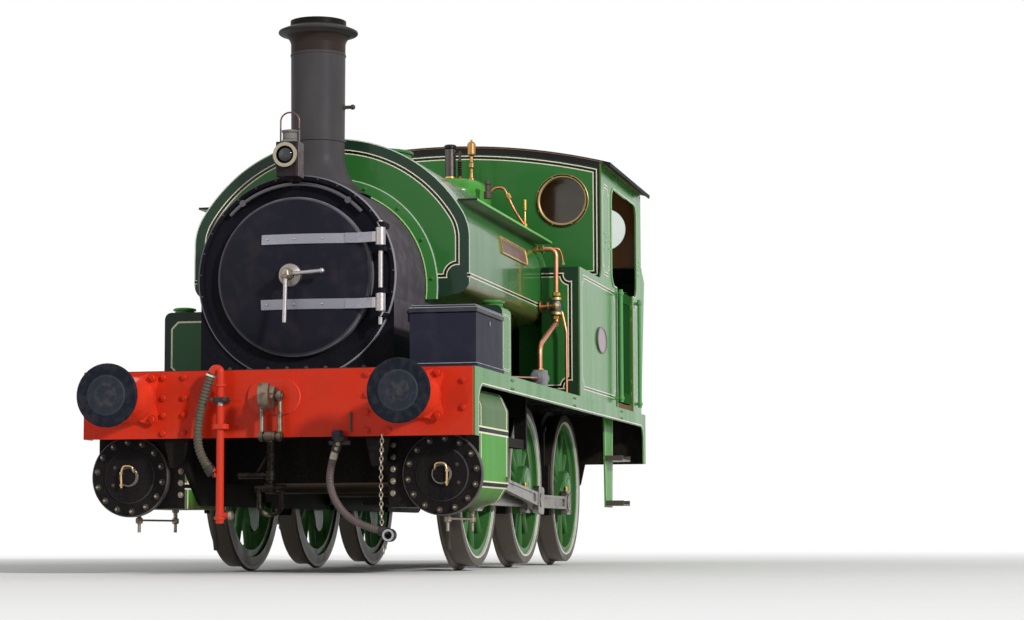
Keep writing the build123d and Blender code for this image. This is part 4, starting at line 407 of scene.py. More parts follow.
def turned(name, places, axis, profile, finish, sides=32, smooth=40, body="locomotive", closed=False):
    """Pieces of revolution, one at each place. A point is the place, plus the profile's height along the
    axis, plus its radius times the cosine and the sine of a turn along two directions square to the axis.
    The profile is in millimetres, and its ends are carried in to the axis. Closed makes a ring of it
    instead."""
    axis = unit(axis)
    first = unit(np.cross(axis, (0.31, 0.52, 0.86) if abs(axis[2]) < 0.9 else (0, 1, 0)))
    second = np.cross(axis, first)
    rim = np.asarray(profile, float) / 1000
    rim = rim if closed else np.vstack([rim[:1] * (0, 1), rim, rim[-1:] * (0, 1)])
    spokes = circle(sides) @ np.stack([first, second])
    form = rim[:, None, 1:] * axis + rim[:, None, :1] * spokes
    grids = np.atleast_2d(np.asarray(places, float))[:, None, None] + form
    fit(surface(name, grids, finish, closed=closed, smooth=smooth), body)


def pair(name, places, axis, *shape, body="locomotive"):
    """Pieces of revolution on the left side, and the same pieces mirrored on the right."""
    for side, way in SIDES:
        turned(name + side, np.array(places) * (way, 1, 1), np.array(axis) * (way, 1, 1), *shape,
               body=body.replace("SIDE", side))


def bolts(name, places, axis, size, finish, body="locomotive"):
    """Hexagon heads on round washers, with the bolt's end proud of them. Size is the head's radius in
    millimetres."""
    washer = [(1.25 * size, -1), (1.25 * size, 0.12 * size)]
    turned(name + "_washers", places, axis, washer, finish, 14, 30, body)
    head = np.array([(1, 0.1), (1, 0.75), (0.8, 0.9), (0.5, 0.9), (0.5, 1.15), (0, 1.2)]) * size
    turned(name, places, axis, head, finish, 6, 20, body)


def mirrored(places):
    """Places, and the same places on the other side."""
    places = np.asarray(places, float)
    return np.vstack([places, places * (-1, 1, 1)])


beam_paint = enamel("vermilion_enamel", VERMILION, beam_marks, gloss=0.22, coat=0.12, dust=0.25, shine=0.1)
paint_node(beam_paint, "buffer_beams")
beam_bolts = [(x, 0, z) for x in (0.685, 0.557) for z in (1.155, 1.035, 0.933, 0.828)]
beam_bolts += [(1.13, 0, 1.112), (1.13, 0, 0.955)]
for end, face, way in (("front", behind(0), -1), ("rear", behind(6080), 1)):
    bolts("beam_bolts_" + end, mirrored(beam_bolts) + (0, face, 0), (0, way, 0), 19, beam_paint)
dark_iron = bare_metal("dark_iron", tone(54, 48, 44), tone(88, 78, 68), 0.45, metallic=0.5, stains=0.4)
turned("beam_chain_rod", (0.463, behind(-9), 0.82), UP, [(6, 0), (6, 116)], dark_iron, 10)

# Running plates: steel sheet along each side. Their edges are folded down as valances that curve into the
# beams, and each valance has a thin cream line along its lower edge.
LEAF = tone(58, 128, 52)
DARK_GREEN = tone(26, 54, 38)
VALANCE_BOTTOM = PLATE_TOP - 0.104
END_RADIUS = 0.11
RIVET = np.array([(1, -0.001), (0.92, 0.35), (0.62, 0.7), (0, 0.85)])


def plate_marks(paint):
    """The line keeps its distance from the valance's lower edge, round the curves at its ends as well. The
    top is trodden dark."""
    run_out = (abs(paint.y) - 2.79) | 0.0
    drop = (paint.z - (VALANCE_BOTTOM - END_RADIUS)) | 0.0
    edge = reach(run_out, drop) - END_RADIUS
    outside, within = abs(paint.x) > 1.1895, abs(paint.x) < 1.17
    trodden = paint.mix(paint.cloud(4, 4), tone(30, 36, 32), tone(62, 60, 52))
    return ((outside * (abs(edge - 0.013) < 0.0035), CREAM), (outside * (edge < 0.0095), DARK_GREEN),
            (within, tone(24, 38, 30)), ((paint.z > PLATE_TOP - 0.0005) * within, trodden))


paint_node(enamel("plate_green", LEAF, plate_marks, dust=0.45), "running_plates")
splices = [(1.19, behind(place), PLATE_TOP - drop) for place in (1010, 1060, 3010, 3060, 4900, 4950)
           for drop in (0.026, 0.078)]
rivet_green = enamel("rivet_green", LEAF)
pair("valance_rivets_", splices, LEFT, RIVET * 9, rivet_green, 10, 30)

# Buffers: cast housings bolted to the beams, painted vermilion, and forged plungers whose heads are blue-
# black from grease, with a worn ring where they meet other vehicles.
BUFFER_X, BUFFER_Z = 0.8635, 1.030
WORN_RADIUS = 0.112


def head_marks(paint):
    """Wear by distance from the head's centre: a slightly paler worn middle inside a faint ring."""
    out = reach(abs(paint.x) - BUFFER_X, paint.z - BUFFER_Z)
    scuffs = paint.patches(26, 5, 0.44, 0.66)
    face = abs(paint.y) > BEAM_FACE + 0.42
    return ((face * (out < WORN_RADIUS) * 0.6, tone(46, 52, 62)),
            (face * (out < 0.07) * scuffs * 0.5, tone(74, 70, 68)),
            (face * (abs(out - WORN_RADIUS) < 0.005) * 0.6, tone(58, 62, 70)),
            (face * scuffs * 0.25, tone(70, 66, 66)))


paint_node(enamel("housing_vermilion", tone(222, 54, 28), beam_marks, gloss=0.24, coat=0.4),
           "buffer_housings")
paint_node(enamel("buffer_grease", tone(22, 27, 38), head_marks, gloss=0.42, coat=0.0, dust=0.1, shine=0.05),
           "buffer_plungers")
flange_bolts = mirrored([(BUFFER_X + x, 0, BUFFER_Z + z) for x in (-0.119, 0.119) for z in (-0.123, 0.123)])
for end, face, way in (("front", behind(-28), -1), ("rear", behind(6108), 1)):
    bolts("buffer_flange_bolts_" + end, flange_bolts + (0, face, 0), (0, way, 0), 22, beam_paint)


# Drawgear: forged hooks on oval plates that are painted like the beam, and screw couplings of worn steel,
# black below the beam. The screw's thread is cut in its bar between the two nuts.
def worn_marks(metal):
    """Rust-brown in the hollows."""
    return ((metal.patches(24, 5, 0.5, 0.7), tone(112, 84, 62)),)


def hook_marks(paint):
    """A pale edge round the oval plate: a painted highlight on its raised rim."""
    return ((abs(paint.y) < BEAM_FACE + 0.0172, tone(238, 104, 78)),)


def hook_bare(paint):
    """Everything but the plate: worn steel, rust in its hollows, and black below the trunnion."""
    hook = (abs(paint.y) > BEAM_FACE + 0.0186) | (paint.z < 0.9)
    black_below = paint.spread(paint.z, 0.76, 0.84, 1, 0) * paint.spread(paint.cloud(16, 4), 0.6, 0.72, 1, 0.15)
    return ((hook, tone(132, 122, 106)), (hook * paint.patches(24, 5, 0.5, 0.7), tone(96, 74, 56)),
            (black_below, tone(24, 22, 21)))


worn_steel = bare_metal("worn_steel", tone(120, 112, 100), tone(182, 172, 156), 0.34, 0.75, marks=worn_marks,
                        stains=0.5)
hook_finish = enamel("hook_and_plate", VERMILION, hook_marks, bare=hook_bare, bare_gloss=0.34)
paint_node(hook_finish, "drawgear")
SCREW_BOTTOM, SCREW_LENGTH, THREADS = 532, 235, 20
share = np.linspace(0, 1, 141)
thread = np.column_stack([19.5 + 2.8 * np.abs(np.sin(share * math.pi * THREADS)),
                          SCREW_BOTTOM + share * SCREW_LENGTH])
for end, place in (("front", behind(-70)), ("rear", behind(6150))):
    turned("coupling_thread_" + end, (0, place, 0), UP, thread, hook_finish, 24, 25)

# Brake standpipe and heating cock: iron pipe in vermilion with a swan neck, a branch at its foot and bolted
# clamps, and a hexagon cap on the cock. A light chain holds the hose's coupling.
CLAMP_Z = 1.013


def standpipe_marks(paint):
    """The dark upper clamp, and the coupling that the hose is parked on."""
    parked = (paint.x < -0.330) * (paint.z < 0.70)
    return ((abs(paint.z - CLAMP_Z) < 0.0145, tone(38, 34, 34)), (parked, tone(40, 37, 36)))


def standpipe_bare(paint):
    """Bright steel where the upper clamp's sleeve shows."""
    return (((abs(paint.z - 0.989) < 0.009) * (paint.y > behind(-200)), tone(150, 150, 156)),)


def band(name, line, radius, finish, count=28):
    """Thin band round a hose, along a part of its line."""
    fit(surface(name, carried(line, radius * circle(count), (0, 1, 0)), finish, smooth=30))


paint_node(enamel("pipe_vermilion", tone(200, 44, 18), standpipe_marks, gloss=0.26, coat=0.2,
                  bare=standpipe_bare), "brake_standpipe")
paint_node(enamel("cock_black", tone(40, 40, 44), gloss=0.35, coat=0.05, shine=0.1), "heating_cock",
           "heating_coupling")
blue_cap = enamel("plug_blue_black", tone(22, 28, 48), gloss=0.3, coat=0.1)
brass = bare_metal("polished_brass", tone(196, 150, 74), tone(232, 196, 112), 0.16)
bright_steel = bare_metal("bright_steel", tone(158, 158, 162), tone(196, 196, 200), 0.24, stains=0.25)
clip_steel = bare_metal("clip_steel", tone(196, 192, 176), tone(226, 222, 204), 0.25, 0.7)
turned("standpipe_clamp_nuts", [(x, behind(-126), CLAMP_Z) for x in (-0.338, -0.262)], AHEAD,
       [(12, -4), (12, 8), (6, 9), (6, 18)], dark_iron, 6, 20)
turned("standpipe_clamp_tie", (-0.352, PIPE_Y, CLAMP_Z), LEFT, [(11, 0), (11, 12), (6, 13), (6, 122)],
       dark_iron, 10, 20)
band("hose_clip", brake_line[8:18], 0.0296, clip_steel)
band("hose_clip_lower", brake_line[-22:-6], 0.0298, dark_iron)
turned("standpipe_tee_ring", (-0.236, PIPE_Y, 0.344), LEFT, [(26, -6), (26, 12), (20, 16)], worn_steel, 24)
turned("heating_cock_cap", (0.400, COCK_Y, 0.788), UP, [(36, -12), (36, 30), (28, 40), (18, 42)], blue_cap,
       6, 20)
band("heating_hose_clip", heat_line[4:26], 0.0238, worn_steel, 24)
bolts("heating_clip_bolts", [(0.398, behind(-83), 0.722), (0.408, behind(-83), 0.748)], AHEAD, 11, worn_steel)
CHAIN_LINKS, LINK_WIRE = 21, 0.0036
LINK_HALF = np.array([0.0095, 0, 0.0165])
link_turn = circle(10)
outward = np.insert(link_turn, 1, 0, axis=1)
wire = LINK_WIRE * circle(5)[:, :, None]
link = (outward * LINK_HALF)[:, None] + wire[None, :, 0] * outward[:, None] + wire[None, :, 1] * (0, 1, 0)
odd = (np.arange(CHAIN_LINKS) % 2)[:, None, None, None]
links = np.where(odd, link, link[..., [1, 0, 2]])
share = np.linspace(0, 1, CHAIN_LINKS)
middles = np.column_stack([0.662 - 0.006 * np.sin(share * math.pi), np.full(CHAIN_LINKS, behind(-50)),
                           0.79 - share * 0.515])
fit(surface("coupling_chain", middles[:, None, None] + links, worn_steel, closed=True))
turned("coupling_head_ring", (0.708, behind(-85), 0.226), AHEAD, [(22, 0), (35, 0), (34, 4), (23, 4)],
       bright_steel, 32, closed=True)
toggle = np.array([(0.686, COCK_Y, 0.186), (0.681, COCK_Y, 0.161), (0.676, COCK_Y, 0.136)])
fit(surface("coupling_toggle", toggle[:, None, None] + links[:3], worn_steel, closed=True))

# Smokebox: a riveted steel drum on a straight-sided saddle, brush painted black. Heat has turned the wrapper
# purple-grey, the angle ring's edge is rubbed bright and carries a painted highlight that is strongest on the
# sun's side, and a curved steel handrail crosses its front.
BOILER_Z = 1.773
SMOKEBOX_FRONT = behind(420)


def from_boiler(paint):
    """Distance from the boiler's middle line."""
    return reach(paint.x, paint.z - BOILER_Z)


def smokebox_marks(paint):
    """Cool grey on the wrapper's top, blue-black on the front plate and saddle, and a bright edge on the
    ring: rubbed bright, with a painted highlight that is strongest on the left-hand side, towards the sun."""
    out = from_boiler(paint)
    wrapper = (paint.y > SMOKEBOX_FRONT + 0.001) * (out > 0.612)
    # The ring's edge: rubbed bright, with a painted highlight that fades towards the right-hand side, away
    # from the sun.
    rubbed = (paint.y < SMOKEBOX_FRONT + 0.001) * (out > 0.6125) * (out < 0.621)
    return ((wrapper, tone(74, 68, 76)), (wrapper * paint.patches(12, 5, 0.42, 0.66, 0.6), tone(98, 90, 96)),
            (wrapper * (paint.z < 1.42), tone(34, 36, 44)),
            (rubbed * paint.spread(paint.x, 0.0, 0.4, 0.3, 1.0), tone(150, 148, 154)))


def smokebox_bare(paint):
    """The handrail's steel, ahead of the ring."""
    rail = (paint.y < SMOKEBOX_FRONT - 0.0145) * (from_boiler(paint) < 0.6) * (paint.z > 2.0)
    return ((rail, tone(92, 90, 94)),)


def upright_circle(turn, radius, centre):
    """Places on a circle that faces ahead: the centre, plus the radius times the turn's cosine along X and
    its sine along Z."""
    return np.column_stack([np.cos(turn), 0 * turn, np.sin(turn)]) * radius + centre


paint_node(enamel("smokebox_black", tone(20, 20, 28), smokebox_marks, gloss=0.36, coat=0.0, dust=0.2,
                  bare=smokebox_bare, shine=0.03), "smokebox")
saddle_bolts = mirrored([(0.54 - 0.12 * n, SMOKEBOX_FRONT, 1.225) for n in range(5)])
bolts("saddle_bolts", saddle_bolts, AHEAD, 11, dark_iron)
ring_turn = np.radians(np.arange(190, -11, -12.5))
turned("smokebox_ring_rivets", upright_circle(ring_turn, 0.604, (0, behind(406), BOILER_Z)), AHEAD, RIVET * 7,
       dark_iron, 10, 30)

# Smokebox door: a dished steel plate in black, hung on two brushed steel straps and a long hinge rod, and
# held by the dart's two steel handles on its boss.
DOOR_FACE = behind(360)
STRAP_HEIGHTS = (1.993, 1.600)
DOOR_RADIUS, DOOR_DISH = 0.466, 0.070


def door_marks(paint):
    """A lighter rim: a painted highlight on its rounded edge."""
    out = from_boiler(paint)
    return ((paint.spread(out, 0.462, 0.48) * (out < 0.4835), tone(112, 110, 116)),
            (paint.patches(9, 5, 0.5, 0.72, 0.5), tone(52, 46, 50)))


def door_bare(paint):
    """The straps, the hinge rod, the boss and the handles."""
    upper, lower = (abs(paint.z - height) < 0.0302 for height in STRAP_HEIGHTS)
    handles = (paint.y < DOOR_FACE - 0.1165) | (paint.x > 0.5)
    return (((upper | lower) * (paint.x > -0.1905), tone(142, 140, 148)),
            (from_boiler(paint) < 0.0685, tone(150, 142, 136)), (handles, tone(170, 164, 164)))


paint_node(enamel("door_black", tone(30, 30, 40), door_marks, gloss=0.26, coat=0.04, dust=0.1, bare=door_bare,
                  bare_gloss=0.34, shine=0.03), "smokebox_door")
strap_rivets = np.array([(x, 0, z) for z in STRAP_HEIGHTS for x in (-0.15, 0.02, 0.19, 0.34)])
out = np.hypot(strap_rivets[:, 0], strap_rivets[:, 2] - BOILER_Z) / DOOR_RADIUS
strap_rivets[:, 1] = DOOR_FACE - DOOR_DISH * (1 - out ** 2) - 0.0005
turned("strap_rivets", strap_rivets, AHEAD, RIVET * 8, bright_steel, 12, 30, "smokebox_door")
turned("dart_nut", (0, DOOR_FACE - 0.175, BOILER_Z), AHEAD,
       [(30, -4), (30, 16), (22, 20), (12, 20), (12, 30), (0, 32)], worn_steel, 6, 20, "smokebox_door")
turned("dart_handle_collars", [(0, DOOR_FACE - depth, BOILER_Z) for depth in (0.1595, 0.1295)], AHEAD,
       [(33, -11), (36, -4), (36, 4), (33, 11)], worn_steel, 24, 30, "smokebox_door")

# Lamp: a painted tin case with a bright lens ring, a bull's-eye lens, a rust-grey side and a vented top,
# hooked over the bracket at the top of the smokebox front.
LENS_Z = 2.483
LENS_RADIUS, LENS_BULGE = 47.5, 26
LAMP_FRONT = behind(205)


def lamp_marks(paint):
    """The case grey-brown on its sides, the vent paler as a painted sheen, and soot on the bail's foot."""
    side = abs(paint.x) > 0.069
    return ((side, tone(84, 76, 80)), (side * paint.patches(30, 4, 0.45, 0.6), tone(104, 92, 92)),
            (paint.z > 2.567, tone(116, 114, 110)), (paint.z > 2.645, tone(50, 47, 46)))


def lamp_bare(paint):
    """The lens ring, the dark gap inside it and the wire bail."""
    out = reach(paint.x, paint.z - LENS_Z)
    front = paint.y < LAMP_FRONT - 0.019
    return ((front * (out > 0.054), tone(170, 160, 140)),
            (front * (out > 0.046) * (out < 0.054), tone(40, 36, 38)), (paint.z > 2.6535, tone(112, 84, 78)))


paint_node(enamel("lamp_black", tone(34, 30, 34), lamp_marks, gloss=0.35, coat=0.05, bare=lamp_bare,
                  shine=0.08), "lamp")
lens_glass = Finish("lamp_lens", Coat_Weight=0.3, Coat_Roughness=0.02, Specular_IOR_Level=0.5)
outwards = lens_glass.spread(reach(lens_glass.x, lens_glass.z - LENS_Z), 0.0, 0.05)
lens_glass.dress(Base_Color=lens_glass.mix(outwards, tone(34, 38, 46), tone(10, 11, 14)),
                 Roughness=lens_glass.spread(lens_glass.cloud(30), 0.3, 0.7, 0.03, 0.1))
swell = np.linspace(0, math.pi / 2, 10)
bulge = np.column_stack([LENS_RADIUS * np.cos(swell), LENS_BULGE * np.sin(swell)])
turned("lamp_bulls_eye", (0, LAMP_FRONT - 0.02, LENS_Z), AHEAD, np.vstack([[(0, -3)], bulge]), lens_glass, 40)
turned("lamp_vent_bands", [(0, behind(270), height) for height in (2.587, 2.625)], UP,
       [(42.5, -3), (45.5, 0), (42.5, 3)], dark_iron, 32, closed=True)
turned("lamp_hinge", (-0.0715, LAMP_FRONT + 0.012, LENS_Z - 0.05), UP, [(5, 0), (5, 100)], dark_iron, 10)

# Chimney: one casting with a bell lip and a flared skirt, painted black and sooty at the top. It is bolted
# through the skirt to the smokebox, and a blower cock is screwed into its side.
CHIMNEY_Y = behind(842)


def chimney_marks(paint):
    """Heat-paled paint on the barrel, brown below the lip, a rubbed rim, and soot on top."""
    out = reach(paint.x, paint.y - CHIMNEY_Y)
    return ((paint.patches(7, 5, 0.44, 0.66, 0.5, (1, 1, 0.35)), tone(76, 74, 75)),
            ((paint.z > 3.215) * (out < 0.2), tone(52, 43, 38)), (out > 0.243, tone(60, 57, 56)),
            (paint.z > 3.385, tone(24, 22, 21)))


chimney_black = enamel("chimney_black", tone(66, 64, 66), chimney_marks, gloss=0.34, coat=0.0, dust=0.15,
                       shine=0.05)
paint_node(chimney_black, "chimney")
turned("chimney_bands", [(0, CHIMNEY_Y, height) for height in (2.660, 3.205)], UP,
       [(165.5, -7), (172.5, -6), (173.5, 0), (172.5, 6), (165.5, 7)], chimney_black, 72, closed=True)
turned("blower_cock", (0.163, CHIMNEY_Y, 2.874), LEFT,
       [(18, 0), (18, 10), (11, 14), (11, 50), (16, 53), (16, 68), (9, 75), (0, 78)], dark_iron, 16)

# Boiler, firebox and backhead: lagged barrel in sheet steel, painted green where the tank leaves it in sight,
# and the firebox back in black with brass and copper fittings.
paint_node(enamel("boiler_green", tone(40, 84, 40), gloss=0.3, dust=0.6), "boiler")
paint_node(enamel("firebox_black", tone(38, 36, 34), gloss=0.4, coat=0.1, dust=0.5), "firebox")


def backhead_marks(metal):
    """Fire door and its frame in dark iron, below the brass fittings."""
    return ((metal.z < 1.62, tone(56, 50, 46)),)


paint_node(bare_metal("backhead_brass", tone(190, 146, 74), tone(224, 186, 106), 0.25, marks=backhead_marks),
           "backhead_fittings")

# Saddle tank: welded steel plate arched over the boiler, rolled under at its sides, in gloss green with lined
# panels. An angle ring in lighter green closes its front round the smokebox.
TANK_FRONT = behind(1120)
TANK_SIDE = 0.904
SHOULDER, SHOULDER_Z = 0.35, 2.068
CROWN, CROWN_Z = 1.0, 1.728
SIDE_LINE_Z = 1.836
MID_GREEN = tone(44, 106, 46)
# Pale tone on the tank's rounded edges: a painted highlight.
PAINTED_EDGE_HIGHLIGHT = tone(196, 210, 190)


def tank_inset(paint):
    """Distance in from the tank's outline: from the crown's arc above the line through both arcs' centres,
    and from the shoulder's arc and the flat side below it."""
    side = abs(paint.x)
    slope = (SHOULDER_Z - CROWN_Z) / (TANK_SIDE - SHOULDER)
    over = (paint.z - CROWN_Z) - side * slope > 0
    from_crown = CROWN - reach(paint.x, paint.z - CROWN_Z)
    from_side = SHOULDER - reach((side - (TANK_SIDE - SHOULDER)) | 0.0, (paint.z - SHOULDER_Z) | 0.0)
    return from_crown * over + from_side * (1 - over)


def lining(edge, half=0.0135, face=None):
    """Marks of a painted line along an edge, cream with a black middle, on one face or on all."""
    line, middle = abs(edge) < half, abs(edge) < half * 0.55
    return (face * line if face else line, CREAM), (face * middle if face else middle, INK_BLACK)


def bordered(edge, half=0.0135, face=None):
    """Marks of a dark green border beyond an edge, and of the line along the edge."""
    border = edge > 0
    return (face * border if face else border, DARK_GREEN), *lining(edge, half, face)


def panel(u, v, middle, half, hollow=0.06):
    """Distance out from a lined panel's edge, below 0 inside it. Quarter circles hollow its corners."""
    out_u, out_v = abs(u - middle[0]) - half[0], abs(v - middle[1]) - half[1]
    return out_u | out_v | (hollow - reach(out_u, out_v))


def tank_marks(paint):
    """Front: a white edge, a painted highlight on the rounded flange, a dark border, and the line with a
    hollow corner
    over the foot. Sides: a line just above the roll, and a pale rear edge, a painted highlight on its
    rounding. The angle ring has painted highlights on its inner and outer edges."""
    front = (paint.y < TANK_FRONT + 0.0008) * (paint.y > TANK_FRONT - 0.002)
    inset = tank_inset(paint)
    corner = 0.08 - reach(abs(paint.x) - 0.822, paint.z - SIDE_LINE_Z)
    edge = (0.082 - inset) | (SIDE_LINE_Z - paint.z) | corner
    out = from_boiler(paint)
    ring = paint.y < TANK_FRONT - 0.002
    # The white front edge, the pale rear edge and the ring's pale edges are painted highlights.
    return ((paint.z < 1.80, tone(84, 92, 44)), *bordered(edge, 0.0145, front),
            (front * (inset < 0.007), PAINTED_EDGE_HIGHLIGHT),
            *lining(paint.z - (SIDE_LINE_Z + 0.002), 0.0135, abs(paint.x) > 0.885),
            (paint.y > behind(3474), tone(176, 200, 160)), (ring, tone(58, 122, 58)),
            (ring * (out < 0.633), tone(176, 218, 140)), (ring * (out > 0.6935), PAINTED_EDGE_HIGHLIGHT))


paint_node(enamel("tank_green", MID_GREEN, tank_marks, gloss=0.12, coat=0.25, dust=0.3), "saddle_tank")
ring_turn = np.radians([176, 154, 132, 110, 70, 48, 26, 4])
bolts("tank_ring_bolts", upright_circle(ring_turn, 0.665, (0, behind(1108), BOILER_Z)), AHEAD, 11,
      rivet_green)

# Nameplates: blank cast brass plates on the tank's sides, curved to the shoulder, with a polished raised edge
# and a face painted and weathered to a dull pink-grey.
NAME_Y, NAME_HALF = behind(2400), 0.395
NAME_LOW, NAME_HIGH = 2.074, 2.186
EDGE_WIDTH = 0.013


def name_edge(paint):
    """The brass edge."""
    edge = (abs(paint.y - NAME_Y) > NAME_HALF - EDGE_WIDTH) | (paint.z > NAME_HIGH - EDGE_WIDTH)
    return ((edge | (paint.z < NAME_LOW + EDGE_WIDTH), tone(214, 176, 98)),)


def stacked(x, y, z):
    """Grid of points from three arrays that are spread to one shape."""
    return np.stack(np.broadcast_arrays(x, y, z), -1)


plate_face = enamel("nameplate_face", tone(96, 62, 54), gloss=0.3, coat=0.1, dust=0.2, bare=name_edge,
                    bare_gloss=0.2)
high = np.linspace(NAME_LOW, NAME_HIGH, 41)
over = np.clip(high - SHOULDER_Z, 0, None)
reach_in = np.sqrt(SHOULDER ** 2 - over ** 2)
wall = TANK_SIDE - SHOULDER + reach_in
along = np.linspace(NAME_Y - NAME_HALF, NAME_Y + NAME_HALF, 121)
near = np.minimum.outer(NAME_HALF - np.abs(along - NAME_Y), np.minimum(high - NAME_LOW, NAME_HIGH - high))
proud = np.where(near < EDGE_WIDTH - 0.003, 0.011, 0.005)
outer_face = stacked(wall + proud * reach_in / SHOULDER, along[:, None], high + proud * over / SHOULDER)
inner_face = stacked(wall - 0.001, along[:, None], high)
nameplate = np.concatenate([outer_face, inner_face[:, ::-1]], 1)
for side, way in SIDES:
    fit(surface("nameplate_" + side, nameplate * (way, 1, 1), plate_face, smooth=25))


# Footboards along the tank's shoulders: planks painted grey-green, pale at their worn edges and dark at the
# ends. The filler stands between them, with its lid hinged on the neck.
def board_marks(paint):
    """Worn pale edges, trodden top and dark ends."""
    return ((paint.patches(6, 4, 0.42, 0.62, 1.0, (1, 0.15, 1)), tone(134, 148, 118)),
            (abs(paint.x) > 0.914, tone(104, 176, 84)),
            (abs(paint.y - behind(2420)) > 1.176, tone(28, 26, 24)))


paint_node(enamel("board_green", tone(104, 128, 92), board_marks, gloss=0.4, coat=0.15), "tank_boards")
paint_node(enamel("filler_green", MID_GREEN, gloss=0.25, dust=0.5), "filler_neck", "filler_lid")
turned("filler_lid_boss", (0, behind(2300), 2.8235), UP, [(50, -2), (48, 4), (20, 7)], rivet_green, 24,
       body="filler_lid")


# Dome casing, safety valves and whistle: pressed green casing between tank and cab, with the brass valves and
# the brass whistle standing on it, and copper pipes that run from it to the cab front.
def casing_marks(paint):
    """Soot and streaks below the valves."""
    return ((paint.patches(5, 4, 0.5, 0.74, 0.5, (1, 1, 0.2)), tone(30, 60, 32)),)


def valve_marks(metal):
    """The valve's body smoked dark above its brass base."""
    return ((metal.z > 2.865, tone(84, 78, 76)), (metal.z > 3.07, tone(44, 40, 40)))


def bent(points, radius, steps=8):
    """Line through points with rounded corners: each corner is a curve of the second degree between points
    that lie the radius before and after it."""
    points = np.asarray(points, float)
    corner = points[1:-1]
    before, after = points[:-2] - corner, points[2:] - corner
    start, end = (corner + unit(leg) * np.minimum(radius, 0.45 * np.linalg.norm(leg, axis=1))[:, None]
                  for leg in (before, after))
    share = np.linspace(0, 1, steps)[None, :, None]
    curve = (1 - share) ** 2 * start[:, None] + 2 * share * (1 - share) * corner[:, None]
    curve += share ** 2 * end[:, None]
    return np.vstack([points[:1], curve.reshape(-1, 3), points[-1:]])


def pipe(name, points, radius, finish, bend=0.03):
    """Round pipe through points, bent at its corners."""
    fit(surface(name, carried(bent(points, bend), radius * circle(12)), finish))


paint_node(enamel("casing_green", tone(66, 144, 48), casing_marks, gloss=0.18, coat=0.15), "dome_casing")
paint_node(bare_metal("whistle_brass", tone(150, 106, 62), tone(198, 152, 98), 0.24, stains=0.6), "whistle")
paint_node(bare_metal("valve_brass", tone(190, 146, 74), tone(224, 186, 106), 0.24, marks=valve_marks,
                      stains=0.5), "safety_valves")
copper = bare_metal("pipe_copper", tone(186, 116, 84), tone(222, 148, 108), 0.26, stains=0.3)
BLOWER_Y = behind(3800)
blower_line = [(0.39, 2.70), (0.45, 2.772), (0.52, 2.772), (0.60, 2.60), (0.678, 2.482)]
pipe("blower_pipe", [(x, BLOWER_Y, z) for x, z in blower_line] + [(0.69, behind(4138), 2.45)], 0.010, copper)
turned("blower_union", (0.553, BLOWER_Y, 2.706), (0.42, 0, -0.9), [(19, -20), (19, 20)], brass, 6, 20)
turned("blower_valve", (0.679, BLOWER_Y, 2.475), UP,
       [(16, -20), (18, 20), (9, 30), (7, 120), (12, 125), (12, 200), (6, 205), (0, 206)], brass, 12)
turned("casing_turret", (0.455, behind(3560), 2.66), UP,
       [(30, 0), (30, 50), (20, 60), (20, 100), (26, 105), (26, 125), (0, 130)], dark_iron, 8, 20)

# Cab: flat steel sheets bolted to angles, with half-round beading round the side openings and a curved roof.
# The panels are lined cream and black inside dark green borders.
CAB_SIDE = 1.185
CAB_FRONT, CAB_REAR = behind(4140), behind(5920)
SHEET = 0.007
WAIST = PLATE_TOP + 0.919
ROOF_CENTRE, ROOF_RADIUS = -1.7225, 4.8565
LINE_LOW, LINE_HIGH = 1.264, 2.056
LINE_MIDDLE, LINE_HALF = (LINE_LOW + LINE_HIGH) / 2, (LINE_HIGH - LINE_LOW) / 2
CAB_BROWN = tone(150, 108, 68)


def front_marks(paint):
    """Dark border with its line beside the corner post and under the roof, its outer strip black as painted
    shade beside the post and under the roof's overhang, and varnished brown inside.
    """
    under_roof = ROOF_RADIUS - reach(paint.x, paint.z - ROOF_CENTRE)
    edge = (abs(paint.x) - 1.138) | (0.072 - under_roof) | (WAIST + 0.05 - paint.z)
    inside = (paint.y > CAB_FRONT + SHEET) * (paint.y < CAB_REAR - SHEET)
    # Black outer strips: painted shade beside the corner posts and under the roof's overhang.
    return (*bordered(edge, 0.0165), (abs(paint.x) > 1.158, INK_BLACK), (under_roof < 0.046, INK_BLACK),
            (inside, CAB_BROWN))


def side_marks(paint):
    """Lined panels beside the bunker and behind the doorway, a pale bead round the opening, its paleness a
    painted reflection of the sky, and a black corner post."""
    marks = []
    for front, rear in ((3355, 4695), (5580, 5830)):
        middle = (behind(front) + behind(rear)) / 2
        marks += lining(panel(paint.y, paint.z, (middle, LINE_MIDDLE), ((rear - front) / 2000, LINE_HALF)))
    marks += lining(panel(paint.y, paint.z, (behind(4335), 2.50), (0.13, 0.33)))
    # Paint proud of the side sheet is pale: a painted reflection of the sky.
    return (*marks, (abs(paint.x) > CAB_SIDE + 0.0008, tone(150, 190, 140)),
            (paint.y < behind(3272), DARK_GREEN), (abs(paint.x) < CAB_SIDE - 0.0005, tone(70, 120, 60)),
            (abs(paint.x) < CAB_SIDE - 0.009, CAB_BROWN))


def roof_marks(paint):
    """Tarred felt, paler where rain has run, with a dark gutter edge, and brown boards below."""
    below = reach(paint.x, paint.z - ROOF_CENTRE) < ROOF_RADIUS + 0.003
    return ((paint.patches(5, 5, 0.46, 0.7, 0.6, (0.3, 1, 1)), tone(84, 84, 84)), (below, CAB_BROWN),
            (abs(paint.x) > 1.200, tone(26, 38, 32)))


